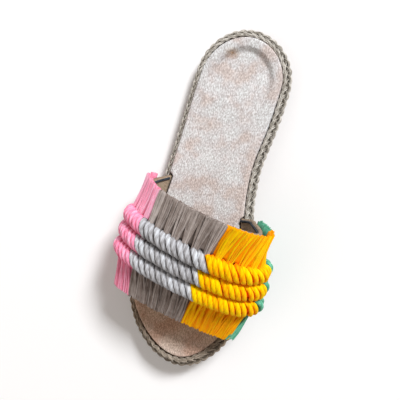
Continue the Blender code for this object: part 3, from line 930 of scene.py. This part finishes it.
def strap_back(u):
    """V of the strap's back edge: hollow over the arch, and shifted where its roots go down."""
    outer = ROOT_SHIFT["outer"] * np.clip(1 - u / ROOT_SHIFT_REACH, 0, 1)**2
    inner = ROOT_SHIFT["inner"] * np.clip(1 - (1 - u) / ROOT_SHIFT_REACH, 0, 1)**2
    return STRAP_BACK_HOLLOW * np.sin(math.pi * u) * (1 - STRAP_BACK_FADE * u) + outer + inner


def root_station(v, u):
    """Station where the strap's root meets the sole."""
    return float(HEEL_Y - strap_point(u, v, 0.0)[1])


NOTCH = {side: (root_station(strap_back(u), u) - NOTCH_MARGIN,
                root_station(STRAP_FRONT, u) + NOTCH_MARGIN)
         for side, u in (("outer", 0.0), ("inner", 1.0))}
NOTCH_CORNERS = np.concatenate([
    np.linspace(corner, corner + NOTCH_STEP, NOTCH_CORNER_POINTS)
    for first, last in NOTCH.values() for corner in (first - NOTCH_STEP, last)])
print("notches from the heel:", {side: np.round(ends, 1).tolist() for side, ends in NOTCH.items()})

# %% Outline of the footbed
INSOLE_INSET = 6.3
EDGE_SHIFT = {"outer": -1.9, "inner": 0.5}
EDGE_SHIFT_REACH = 55.0
TOE_BAND = 2.2
TOE_BAND_REACH = 55.0
NOTCH_INSET = {"outer": 7.5, "inner": 9.5}
NOTCH_FADE = 0.5


def smooth_step(value):
    """Ease from 0 to 1."""
    value = np.clip(value, 0, 1)
    return value * value * (3 - 2 * value)


def near_toe(station):
    """Ease from 0 to 1 over the last stretch before the toe, where the plait lies broader."""
    return smooth_step((station - SOLE_LENGTH + TOE_BAND_REACH) / TOE_BAND_REACH)


def footbed_loop(inset):
    """Outline of the footbed, nearer the outer edge and notched where the strap goes in."""
    def notch(side, station):
        first, last = NOTCH[side]
        inside = smooth_step(1 - max(first - station, station - last, 0.0) / NOTCH_STEP)
        from_ends = min(station, SOLE_LENGTH - station)
        shift = EDGE_SHIFT[side] * smooth_step(from_ends / EDGE_SHIFT_REACH)
        shift += TOE_BAND * near_toe(station)
        deeper = NOTCH_INSET[side] - INSOLE_INSET - shift - inset * NOTCH_FADE
        return shift + max(0.0, deeper) * inside
    return sole_loop(INSOLE_INSET + inset, **FINE_LOOP, extra=NOTCH_CORNERS, inset_at=notch)


print("points round the footbed:", len(footbed_loop(0.0)))

# %% Footbed
INSOLE_TOP = 19.8
INSOLE_BASE = OUTSOLE_TOP + 0.35
CUP_DEPTH = 3.5
CUP_FULL = 22.0
CUP_END = 60.0
CUP_EDGE = 5.5
CUP_SLOPE = 4.8
# each row: inset, drop below the top
EDGE_TURN = ((0.0, 1.4), (0.1, 0.95), (0.35, 0.5), (0.8, 0.15), (1.4, 0.0))
RIM_INSETS = (2.5, 4.0, 5.5, 6.3, 7.0, 7.8, 8.6, 9.4, 10.2, 11.2, 12.4, 15.0)


def footbed_points(inset, below):
    """A footbed outline with the heel cup sunk into it."""
    loop = footbed_loop(inset)
    into_cup = smooth_step((inset - CUP_EDGE) / CUP_SLOPE)
    cup = CUP_DEPTH * smooth_step((CUP_END - loop[:, 1]) / (CUP_END - CUP_FULL)) * into_cup
    return sole_points(loop, INSOLE_TOP - below - cup)


footbed_loops = [sole_points(footbed_loop(0.0), INSOLE_BASE)]
footbed_loops += [footbed_points(inset, below) for inset, below in EDGE_TURN]
footbed_loops += [footbed_points(inset, 0.0) for inset in RIM_INSETS]
footbed_mesh = solid_mesh("footbed", *stacked_loops(footbed_loops), LINEN)
footbed = add_piece("footbed", footbed_mesh, ["insole"])

# %% [markdown]
# ## Plaited jute edge
# Five jute yarns cross over each other all round the footbed. Each yarn swings from side to side and,
# at four times the pace, up and down, a fifth of a turn after the last one; that is all a flat plait
# is. One modelled link repeated along a path would gape at heel and toe, while yarns along the path
# bend with it. The tree winds each yarn from four plies. The plait is slimmer on the outer side and
# broader round the toe, as it is sewn there.

# %% The path of the plait
PLAIT_INSET = 3.15
PLAIT_LOOP = {"ends": 40, "middle": 60}
PLAIT_OUTER_SHIFT = 0.8
PLAIT_BASE = 11.2
PLAIT_RISE = 3.3
PLAIT_INNER_SCALE = 1.08
PLAIT_OUTER_SCALE = 0.80
PLAIT_TOE_SCALE = 1.35
PLAIT_BLEND = 60.0
PLAIT_POINTS = 1080


def even_loop(loop, count):
    """Evenly spaced points round a loop, and its length."""
    closed = np.concatenate([loop, loop[:1]])
    run = run_along(closed)
    even = np.arange(count) * run[-1] / count
    return np.stack([np.interp(even, run, closed[:, k]) for k in range(2)], 1), run[-1]


plait_path, plait_length = even_loop(sole_loop(PLAIT_INSET, **PLAIT_LOOP), PLAIT_POINTS)
plait_out = loop_outward(plait_path)
on_outer = smooth_step(0.5 - plait_path[:, 0] / PLAIT_BLEND)
on_toe = near_toe(plait_path[:, 1])
plait_scale = between(PLAIT_INNER_SCALE, PLAIT_OUTER_SCALE, on_outer)
plait_scale = plait_scale * between(1.0, PLAIT_TOE_SCALE, on_toe)
plait_shift = PLAIT_OUTER_SHIFT * on_outer - TOE_BAND / 2 * on_toe
plait_path = plait_path + plait_out * plait_shift[:, None]
plait_axis = sole_points(plait_path, PLAIT_BASE + PLAIT_RISE * plait_scale)
print("length of the plait:", round(plait_length), "mm")

# %% Jute plait
PLAIT_YARNS = 5
PLAIT_PITCH = 29.0
PLAIT_SWING = 2.6
PLAIT_FLATTEN = 0.16
PLAIT_DEPTH = 0.5
PLAIT_TILT = math.radians(48.0)
YARN_SHADE, YARN_SHADE_STEP = 0.72, 0.06
YARN_TWIST = 22.0
YARN_PLIES = {"plies": 4, "ply_offset": 0.72 * MM, "ply_radius": 0.43 * MM, "mottle": 0.35, "sides": 4}
# painted shade in the plait's hollows, by distance from its axis
YARN_DEEP, YARN_OPEN, YARN_KEEP = 0.5, 2.0, 0.42

plait_side = np.stack([plait_out[:, 0], -plait_out[:, 1], 0 * on_outer], 1)
plait_up = np.array([0.0, 0.0, 1.0])
plait_turns = round(plait_length / PLAIT_PITCH)
yarns, yarn_shade = [], []
for yarn in range(PLAIT_YARNS):
    turns = plait_turns * np.arange(PLAIT_POINTS) / PLAIT_POINTS + yarn / PLAIT_YARNS
    phase = 2 * math.pi * turns
    turned = (np.sin(phase) + PLAIT_FLATTEN * np.sin(3 * phase)) / (1 - PLAIT_FLATTEN)
    swing = PLAIT_SWING * plait_scale * turned
    rise = PLAIT_DEPTH * plait_scale * np.sin((PLAIT_YARNS - 1) * phase)
    out = swing * math.cos(PLAIT_TILT) + rise * math.sin(PLAIT_TILT)
    up = -swing * math.sin(PLAIT_TILT) + rise * math.cos(PLAIT_TILT)
    yarns.append(plait_axis + plait_side * out[:, None] + plait_up * up[:, None])
    yarn_shade.append(np.full(PLAIT_POINTS, YARN_SHADE + YARN_SHADE_STEP * yarn))
yarn_length = run_along(np.vstack([yarns[0], yarns[0][:1]]))[-1]
yarn_pitch = float(yarn_length / round(yarn_length / YARN_TWIST)) * MM
plait_guide = guide_object("plait_guide", yarns, True, thick=[plait_scale] * PLAIT_YARNS,
                           shade=yarn_shade)
plait_mesh = grow(plait_guide, WOUND_CORD, twist_pitch=yarn_pitch, material=JUTE, **YARN_PLIES)
paint_shade_in_hollows(plait_mesh, plait_axis, YARN_DEEP * plait_scale, YARN_OPEN * plait_scale, YARN_KEEP)
add_piece("jute_plait", plait_mesh, ["braid_edge"])

# %% [markdown]
# ## Strap cloth
# Under the knots the strap is a plain sand brown cloth, seen on its inside and where it dives between
# footbed and plait. Held tight over the foot it has no folds, so it is not simulated: two grids, one
# on each face of the arch, are closed round the rim. The mesh keeps flat coordinates for the weave,
# and the cells of its middle surface give the size that the cloth was cut to.

# %% Strap cloth
STRAP_WALL = 2.5
FOOT_Z = 11.6
STRAP_U = np.linspace(0, 1, 85)
STRAP_PARTS = np.linspace(0, 1, 25)
STRAP_BACK = strap_back(STRAP_U)
ACROSS = np.array([math.cos(STRAP_TURN), -math.sin(STRAP_TURN), 0.0])


def strap_row(part, lift):
    """One row of the strap, root to root, with its two feet between footbed and plait."""
    v = between(STRAP_BACK, STRAP_FRONT, part)
    face = strap_point(STRAP_U, v, 0.0)
    row = strap_point(STRAP_U, v, lift)
    feet = []
    for end, inward in ((face[0], ACROSS), (face[-1], -ACROSS)):
        foot = end - inward * lift
        foot[2] = FOOT_Z + float(toe_lift(HEEL_Y - end[1]))
        feet.append(foot)
    return np.vstack([feet[0], row, feet[1]])


strap_top = np.array([strap_row(part, 0.0) for part in STRAP_PARTS])
strap_under = np.array([strap_row(part, -STRAP_WALL) for part in STRAP_PARTS])
strap_mesh = solid_mesh("strap_cloth", *sheet_solid(strap_top, strap_under), STRAP_CLOTH)
strap_over = run_along(strap_top[len(STRAP_PARTS) // 2])
cloth_over, cloth_across = np.meshgrid(strap_over, STRAP_PARTS * STRAP_WIDTH)
cloth_flat = np.stack([cloth_over, cloth_across, 0 * cloth_over], 2).reshape(-1, 3) * MM
set_field(strap_mesh, "cloth_place", np.concatenate([cloth_flat, cloth_flat]))
strap = add_piece("strap_cloth", strap_mesh, ["strap"])

# %% [markdown]
# ## Piping
# A dark piping is sewn along the back and front edges of the strap, and shows on its inside. It is a
# plain round cord, so the wound cord tree makes it from a single ply along two rows of the strap.

# %% Piping
PIPING_PARTS = (0.022, 0.978)
PIPING_PROUD = 0.2
PIPING_RADIUS = 0.95
PIPING_SIDES = 8
piping_paths = [strap_row(part, -STRAP_WALL - PIPING_PROUD)[1:-1] for part in PIPING_PARTS]
piping_mesh = plain_cord("piping_guide", piping_paths, [np.ones(len(path)) for path in piping_paths],
                         EVEN_SHADE, PIPING_RADIUS, PIPING_SIDES, PIPING)
add_piece("strap_piping", piping_mesh, [])

# %% [markdown]
# ## Hitched bars
# Three bars cross the strap. Each is a row of double half hitches: a cord is led twice round a holding
# cord, so every colour shows as a rope of slanting wraps. A twisted rope looks much like it, but its
# strands run on, while each wrap here comes up behind the bar and goes down in front of it. So there
# is one guide line a wrap, leaning as it goes, and the tree winds it from six soft plies. A plain
# core fills the bar inside, and the bars are drawn flat where they go into the sole.

# %% Colours along a bar
# each row: name, start and end over the arch, wraps on a bar, locks in a fringe
COLOUR_TABLE = (
    ("pink", 0.055, 0.280, 9, 5),
    ("grey", 0.280, 0.565, 11, 7),
    ("yellow", 0.565, 0.812, 12, 6),
    ("green", 0.815, 0.950, 5, 3),
)
MACRAME_START, MACRAME_END = COLOUR_TABLE[0][1], COLOUR_TABLE[-1][2]
BAR_TAPER = 0.075
BAR_TAPER_LOW = 0.52


def from_end(u, reach):
    """Ease from 0 at either end of the macrame to 1 a reach away."""
    return smooth_step(np.minimum(u - MACRAME_START, MACRAME_END - u) / reach)


def fullness(u):
    """How full the macrame is at u."""
    return between(BAR_TAPER_LOW, 1.0, from_end(u, BAR_TAPER))


def colour_run(name, start, end, seam_shift):
    """Start and end of a colour with the seam of pink and grey moved."""
    return start + seam_shift * (name == "grey"), end + seam_shift * (name == "pink")


print("wraps on a bar:", sum(row[3] for row in COLOUR_TABLE))

# %% One wrap
BAR_HALF_WIDTH = 6.1
BAR_HALF_HEIGHT = 5.4
BAR_LIFT = 0.45
CORD_RADIUS = 2.5
WRAP_LEAN, WRAP_LEAN_VARIES, WRAP_LEAN_REACH = 4.6, (0.9, 1.1), 0.16
WRAP_LEAST_RISE = 0.4
WRAP_SPAN = np.linspace(-0.10, 1.10, 22)
# painted light and shade over each wrap: lit over the top and the back side, which faces the lamp,
# darker down the front side and darkest at both bases, where the bars meet
WRAP_PAINTED_DARK = 0.1
WRAP_BACK_EASE = smooth_step(0.5 + 5 * WRAP_SPAN)
WRAP_FRONT_EASE = smooth_step(2.4 * (1.02 - WRAP_SPAN))
WRAP_PAINTED_LIGHT = between(WRAP_PAINTED_DARK, 1.0, WRAP_BACK_EASE * WRAP_FRONT_EASE)
dice = np.random.default_rng(20)


def wrap_path(centre, u, length, strand, proud):
    """Guide of one wrap over a bar, with its thickness; a proud wrap stands off the strap."""
    full = float(fullness(u))
    forward = -np.cos(math.pi * WRAP_SPAN)
    upward = np.sin(math.pi * WRAP_SPAN)
    lean = WRAP_LEAN * dice.uniform(*WRAP_LEAN_VARIES) * float(from_end(u, WRAP_LEAN_REACH))
    radius = strand * full**0.5
    half_height = BAR_HALF_HEIGHT * full
    lift = BAR_LIFT + proud + half_height + upward * max(half_height - radius, WRAP_LEAST_RISE)
    path = strap_point(u + lean * (2 * WRAP_SPAN - 1) / length,
                       centre + forward * (BAR_HALF_WIDTH - radius) / STRAP_WIDTH, lift)
    return path, np.full(len(WRAP_SPAN), radius / CORD_RADIUS)


print("points along a wrap:", len(WRAP_SPAN))

# %% One colour of a bar
STRAND_SHARE = 0.45
GREEN_PROUD, GREEN_PROUD_REACH = 1.6, 0.1
WRAP_PLACE_VARIES = 0.06
WRAP_PROUD_VARIES = (-0.3, 0.4)
WRAP_THICK_VARIES = (0.94, 1.1)
WRAP_SHADE_VARIES = (0.45, 0.85)
WRAP_PLIES = {"plies": 6, "ply_offset": 1.5 * MM, "ply_radius": 0.98 * MM, "twist_pitch": 13 * MM,
              "mottle": 0.5, "sides": 6}
# painted shade in the hollows between wraps, by distance from the core
WRAP_DEEP, WRAP_OPEN, WRAP_KEEP = 3.7, 5.3, 0.0
# the core takes the darkest tone of its colour: painted shade where it shows between the wraps
CORE_POINTS, CORE_RADIUS, CORE_SIDES, CORE_PAINTED_SHADE = 60, 3.2, 10, 0.0


def hitched_bar(name, centre, start, end, wraps):
    """The mesh of one colour's run of a bar."""
    length = arch_length(centre)
    step = (end - start) / wraps
    paths, thick, shade = [], [], []
    for wrap in range(wraps):
        u = start + step * (wrap + 0.5) + dice.normal(0, WRAP_PLACE_VARIES) * step
        proud = dice.uniform(*WRAP_PROUD_VARIES)
        if name == "green":
            proud += GREEN_PROUD * float(from_end(u, GREEN_PROUD_REACH))
        path, size = wrap_path(centre, u, length, STRAND_SHARE * step * length, proud)
        paths.append(path)
        thick.append(size * dice.uniform(*WRAP_THICK_VARIES))
        # each wrap's own tone times the painted light and shade over it
        shade.append(dice.uniform(*WRAP_SHADE_VARIES) * WRAP_PAINTED_LIGHT)
    guide = guide_object("wrap_guide", paths, thick=thick, shade=shade)
    wraps_mesh = grow(guide, WOUND_CORD, material=CORD[name], **WRAP_PLIES)
    core_u = np.linspace(start, end, CORE_POINTS)
    full = fullness(core_u)
    core = strap_point(core_u, centre, BAR_LIFT + BAR_HALF_HEIGHT * full)
    paint_shade_in_hollows(wraps_mesh, core, WRAP_DEEP * full, WRAP_OPEN * full, WRAP_KEEP)
    core_mesh = plain_cord("core_guide", [core], [full], CORE_PAINTED_SHADE, CORE_RADIUS, CORE_SIDES, CORD[name])
    return join_meshes("hitches", [wraps_mesh, core_mesh])


# %% Hitched bars
# each row: place of the bar from back to front, shift of its seam of pink and grey
BAR_TABLE = ((0.353, 0.0), (0.500, 0.0), (0.647, -0.010))
for number, (centre, seam_shift) in enumerate(BAR_TABLE, 1):
    for name, start, end, wraps, _ in COLOUR_TABLE:
        bar_mesh = hitched_bar(name, centre, *colour_run(name, start, end, seam_shift), wraps)
        add_piece(f"hitches_{number}_{name}", bar_mesh, [f"knot_bar_{number}_{name}"])

# %% [markdown]
# ## Geometry Nodes: combed fringe
# Past the last hitch each cord is combed out into loose fibres and cut straight. Hair particles could
# do it, but they have to be turned into meshes afterwards. This tree copies a string's guide line once
# per fibre and moves each copy sideways and upwards by its own random share of the string's width and
# height, which the guide carries point by point: narrow at the knot, wide at the cut.

# %% The combed fringe tree
FIBRE_WAVES = (3.0, 9.0)
FULL_TURN = 6.3
# painted light and shade in a string: fibres lying higher are lighter, lower ones darker
FIBRE_PAINTED_DEPTH_SHADE = 0.15
FIBRE_TONE_VARIES = 0.12


def combed_fringe_tree():
    """String guides to combed fibres."""
    tree, start, out = new_tree("combed_fringe", {
        "Fibres": "Int", "Fibre Radius": "Float", "Sides": "Int", "Wave": "Float", "Ragged": "Float",
        "Seed": "Int", "Material": "Material"})
    copies = copied_guides(tree, start, "Fibres")

    def fibre_random(low, high, step):
        """A number of its own for each fibre; the step keeps the draws apart."""
        index = node(tree, "GeometryNodeInputIndex").outputs["Index"]
        value = node(tree, "FunctionNodeRandomValue",
                     {2: low, 3: high, "ID": index, "Seed": maths(tree, "ADD", start["Seed"], step)},
                     data_type="FLOAT")
        return node(tree, "GeometryNodeFieldOnDomain", {"Value": value.outputs[1]},
                    domain="CURVE", data_type="FLOAT").outputs["Value"]

    aside, above = fibre_random(-1, 1, 1), fibre_random(-1, 1, 2)
    part = node(tree, "GeometryNodeSplineParameter").outputs["Factor"]
    bends = maths(tree, "ADD", maths(tree, "MULTIPLY", part, fibre_random(*FIBRE_WAVES, 3)),
                  fibre_random(0, FULL_TURN, 4))
    sway = weighed(tree, maths(tree, "MULTIPLY", maths(tree, "SINE", bends), part), start["Wave"],
                   aside, named(tree, "half_width"))
    rise = maths(tree, "MULTIPLY", above, named(tree, "half_height"))
    # painted light on higher fibres and shade on lower ones, plus each fibre's own random tone
    tone = maths(tree, "ADD", maths(tree, "MULTIPLY", above, FIBRE_PAINTED_DEPTH_SHADE),
                 fibre_random(-FIBRE_TONE_VARIES, FIBRE_TONE_VARIES, 5))
    combed = moved_copies(tree, copies, named(tree, "across", "FLOAT_VECTOR"), sway,
                          named(tree, "up", "FLOAT_VECTOR"), rise,
                          maths(tree, "ADD", tone, named(tree, "tone")))
    short = maths(tree, "MULTIPLY", fibre_random(0, 1, 6), start["Ragged"])
    cut = node(tree, "GeometryNodeTrimCurve",
               {"Curve": combed, 3: maths(tree, "SUBTRACT", 1.0, short)}, mode="FACTOR")
    sweep(tree, start, out, cut.outputs["Curve"], 1.0, start["Fibre Radius"])
    return tree


COMBED_FRINGE = combed_fringe_tree()
print("tree:", COMBED_FRINGE.name, len(COMBED_FRINGE.nodes), "nodes")

# %% [markdown]
# ## Fringes
# Each lock starts inside the bar, comes out narrow, lies down on the strap and widens until its
# neighbours touch. It is a bundle of untwisted strings, and the tree combs each string into fibres.
# Fibres enough to hide the strap would be far too many, so a thin felted body lies under them; its
# darker tone is painted shade in the gaps between the locks.

# %% Where a fringe is cut
# cuts are the V of the straight cut on the outer side, in the middle and on the inner side
# tone is the strings' mean shade; the front fringe's is lower as painted shadow of the bars above it
FRINGES = {
    "fringe_back": {"root": 0.277, "cuts": (-0.050, 0.015, 0.025), "flare": 5.0, "seam_shift": 0.0,
                    "tone": 0.60},
    "fringe_front": {"root": 0.723, "cuts": (1.010, 1.010, 1.010), "flare": 0.0, "seam_shift": -0.022,
                     "tone": 0.42},
}
CUT_REACH = 0.30
FLARE_START = 0.62
FLARE_REACH = 0.16
TUCK = 0.035


def fringe_ends(fringe, u):
    """V where the fringe starts inside the bar and where it is cut at u, and its flare there."""
    cut_outer, cut_middle, cut_inner = fringe["cuts"]
    to_outer = smooth_step((CUT_REACH - u) / CUT_REACH)
    to_inner = smooth_step((u - 1 + 2 * CUT_REACH) / CUT_REACH)
    edge = cut_middle + (cut_outer - cut_middle) * to_outer + (cut_inner - cut_middle) * to_inner
    tucked = fringe["root"] + TUCK * np.sign(fringe["root"] - cut_middle)
    return tucked, edge, fringe["flare"] * smooth_step((u - FLARE_START) / FLARE_REACH)


for fringe_name, fringe in FRINGES.items():
    print(fringe_name, "from", fringe["root"], "to", fringe["cuts"][1], "of the strap")

# %% One string of a lock
FRINGE_LIFT = 0.7
LOCK_COLUMNS = ("part", "half_width", "half_height", "lift")
LOCK_TABLE = np.array([
    (0.0, 2.3, 1.4, 4.4),
    (0.15, 2.5, 1.4, 3.7),
    (0.32, 3.2, 1.3, 3.0),
    (0.55, 4.0, 1.2, 2.4),
    (1.0, 4.4, 1.0, 1.8),
])
LOCK_STEPS = np.linspace(0, 1, 9)
LOCK = {name: np.interp(LOCK_STEPS, LOCK_TABLE[:, 0], LOCK_TABLE[:, column])
        for column, name in enumerate(LOCK_COLUMNS)}
LOCK_PITCH = 8.2
STRINGS = 11
STRING_OVERLAP = 1.6
STRING_HEIGHT = 0.6
CUT_VARIES = 0.004
SLANT_BEND = 1.5
WANDER, WANDER_BENDS = 0.35, (2, 5)
STRING_HEIGHT_VARIES = (-0.6, 0.6)
STRING_TONE_VARIES = (-0.2, 0.2)


def string_guide(u, aside, fringe, pitch, slant):
    """Guide of one untwisted string of a lock and the fields that the fringe tree reads."""
    tucked, edge, flare = fringe_ends(fringe, u)
    v = tucked + (edge + dice.normal(0, CUT_VARIES) - tucked) * LOCK_STEPS
    taper = float(fullness(u))
    half_width = LOCK["half_width"] * pitch / LOCK_PITCH
    half_height = LOCK["half_height"] * taper
    place, along, normal = strap_frame(u + slant * LOCK_STEPS**SLANT_BEND, v)
    wander = dice.normal(0, WANDER) * LOCK_STEPS
    wander *= np.sin(LOCK_STEPS * dice.uniform(*WANDER_BENDS) + dice.uniform(0, FULL_TURN))
    above = dice.uniform(*STRING_HEIGHT_VARIES) * half_height
    lift = FRINGE_LIFT + LOCK["lift"] * taper + float(flare) * LOCK_STEPS**2 + above
    path = place + normal * lift[:, None] + along * (half_width * aside + wander)[:, None]
    tone = np.full(len(path), fringe["tone"] + dice.uniform(*STRING_TONE_VARIES))
    return (path, along, normal, half_width / STRINGS * STRING_OVERLAP * MM,
            half_height * STRING_HEIGHT * MM, tone)


print("strings in a lock:", STRINGS)

# %% The felted body
FELT_THICK = (2.4, 1.0)
FELT_RIDGE = (1.0, 0.4)
FELT_PARTS = np.linspace(0.0, 0.97, 8)
FELT_COLUMNS = 6
# the felt is darker than the fibres: painted shade in the gaps between locks
FELT_PAINTED_SHADE = 0.32


def felt_body(name, fringe, start, end, locks):
    """The felted body under one colour's fibres, with a ridge under each lock, in painted shade."""
    u = np.linspace(start, end, locks * FELT_COLUMNS + 1)
    ridge = np.abs(np.sin(math.pi * (u - start) / (end - start) * locks))
    tucked, edge, flare = fringe_ends(fringe, u)
    top, under = [], []
    for part in FELT_PARTS:
        v = between(tucked, edge, part)
        low = FRINGE_LIFT + part**2 * flare
        thick = (between(*FELT_THICK, part) + between(*FELT_RIDGE, part) * ridge) * fullness(u)
        top.append(strap_point(u, v, low + thick))
        under.append(strap_point(u, v, low))
    order = -1 if fringe["root"] < 0.5 else 1
    grids = np.array(top)[::order], np.array(under)[::order]
    return solid_mesh("felt", *sheet_solid(*grids), COMBED[name], FELT_PAINTED_SHADE)


print("felt at the bar and at the cut:", FELT_THICK, "mm")

# %% Fringes
SLANT = {"pink": -0.004, "grey": 0.006, "yellow": 0.022, "green": 0.0}
SLANT_VARIES = 0.002
STRING_REACH = 0.9
STRING_PLACE_VARIES = 0.08
FIBRES = {"fibres": 12, "fibre_radius": 0.27 * MM, "sides": 4, "wave": 0.3 * MM, "ragged": 0.05}
SEED_STEP = 10


def combed_fringe(name, fringe, start, end, locks, seed):
    """The mesh of one colour's fringe."""
    strings = []
    step = (end - start) / locks
    pitch = step * arch_length(fringe["root"])
    for lock in range(locks):
        u = start + step * (lock + 0.5)
        slant = SLANT[name] * (0.5 + 0.5 * math.sin(math.pi * (lock + 0.5) / locks))
        slant += dice.normal(0, SLANT_VARIES)
        for aside in np.linspace(-STRING_REACH, STRING_REACH, STRINGS):
            aside += dice.normal(0, STRING_PLACE_VARIES)
            strings.append(string_guide(u, aside, fringe, pitch, slant))
    paths, across, up, width, height, tone = zip(*strings)
    guide = guide_object("string_guide", paths, across=across, up=up, half_width=width,
                         half_height=height, tone=tone)
    fibres = grow(guide, COMBED_FRINGE, seed=seed, material=COMBED[name], **FIBRES)
    return join_meshes("fringe", [fibres, felt_body(name, fringe, start, end, locks)])


for fringe_name, fringe in FRINGES.items():
    for number, (name, start, end, _, locks) in enumerate(COLOUR_TABLE):
        run = colour_run(name, start, end, fringe["seam_shift"])
        fringe_mesh = combed_fringe(name, fringe, *run, locks, number * SEED_STEP)
        add_piece(f"combed_{fringe_name}_{name}", fringe_mesh, [f"{fringe_name}_{name}"])

# %% [markdown]
# ## Floor
# The slipper stands on a plain pale floor, wide enough to fill the view from any side. A backdrop
# with a curved wall would do as well, but would hide the slipper from behind.

# %% Floor
FLOOR_HALF = 8.0
FLOOR_COLOUR = (0.95, 0.96, 0.98, 1.0)
FLOOR_ROUGHNESS = 0.9
floor_mesh = bpy.data.meshes.new("floor")
floor_corners = [(x * FLOOR_HALF, y * FLOOR_HALF, 0) for x, y in ((-1, -1), (1, -1), (1, 1), (-1, 1))]
floor_mesh.from_pydata(floor_corners, [], [(0, 1, 2, 3)])
floor_paint, _, floor_shader = new_material("pale_floor", FLOOR_ROUGHNESS)
floor_shader.inputs["Base Color"].default_value = FLOOR_COLOUR
floor_mesh.materials.append(floor_paint)
floor = put_in_scene("floor", floor_mesh)
print("floor:", 2 * FLOOR_HALF, "m wide")

# %% [markdown]
# ## Light
# One large soft lamp on the heel's inner side throws the strap's shade on to the toe, a weak warm one
# lifts the other side, and a pale surround fills the rest. The Standard view keeps the dyed cotton
# as bright as it is; a filmic view would grey it.

# %% Light
# each row: name, place, size, power, tint
LAMP_TABLE = (
    ("key", (1.14, 2.22, 2.28), 0.75, 121.0, (1.0, 1.0, 1.0)),
    ("fill", (-0.72, -0.52, 0.80), 1.20, 3.2, (1.0, 0.92, 0.84)),
)
SURROUND_COLOUR = (1.0, 0.92, 0.85, 1.0)
SURROUND_STRENGTH = 0.30
for lamp_name, place, size, power, tint in LAMP_TABLE:
    lamp_data = bpy.data.lights.new(lamp_name, "AREA")
    lamp_data.size = size
    lamp_data.energy = power
    lamp_data.color = tint
    lamp = put_in_scene(lamp_name, lamp_data)
    lamp.location = place
    lamp.rotation_mode = "QUATERNION"
    lamp.rotation_quaternion = (-Vector(place).normalized()).to_track_quat("-Z", "Y")
world = bpy.data.worlds.new("pale_surround")
world.use_nodes = True
surround = world.node_tree.nodes["Background"]
surround.inputs["Color"].default_value = SURROUND_COLOUR
surround.inputs["Strength"].default_value = SURROUND_STRENGTH
bpy.context.scene.world = world
bpy.context.scene.view_settings.view_transform = "Standard"
print("lamps:", len(LAMP_TABLE))

# %% [markdown]
# ## Camera
# The camera looks down on the slipper at the viewing angle of the picture, turned a little about its
# own axis. A track constraint could aim it, but would leave no say in that roll, so its three axes
# are worked out and set.

# %% Camera
CAMERA_PLACE = np.array([56.3, 43.5, 415.3]) * MM
CAMERA_TARGET = np.array([-6.0, -0.5, 25.0]) * MM
CAMERA_ROLL = math.radians(14.19)
CAMERA_LENS = 48.85
CAMERA_SENSOR = 36.0


def look(place, target, roll):
    """Axes of a camera that looks from a place at a target, its top towards +Y and then rolled."""
    back = (place - target) / np.linalg.norm(place - target)
    top = np.array([0.0, 1.0, 0.0])
    top -= back * (top @ back)
    top /= np.linalg.norm(top)
    right = np.cross(top, back)
    rolled = top * math.cos(roll) - right * math.sin(roll)
    return np.stack([np.cross(rolled, back), rolled, back], 1)


camera_data = bpy.data.cameras.new("camera")
camera_data.lens = CAMERA_LENS
camera_data.sensor_width = CAMERA_SENSOR
camera = put_in_scene("camera", camera_data)
axes = look(CAMERA_PLACE, CAMERA_TARGET, CAMERA_ROLL)
camera_rows = [[*axes[row], CAMERA_PLACE[row]] for row in range(3)]
camera.matrix_world = Matrix(camera_rows + [[0, 0, 0, 1]])
bpy.context.scene.camera = camera
print("camera at", CAMERA_PLACE.round(3))
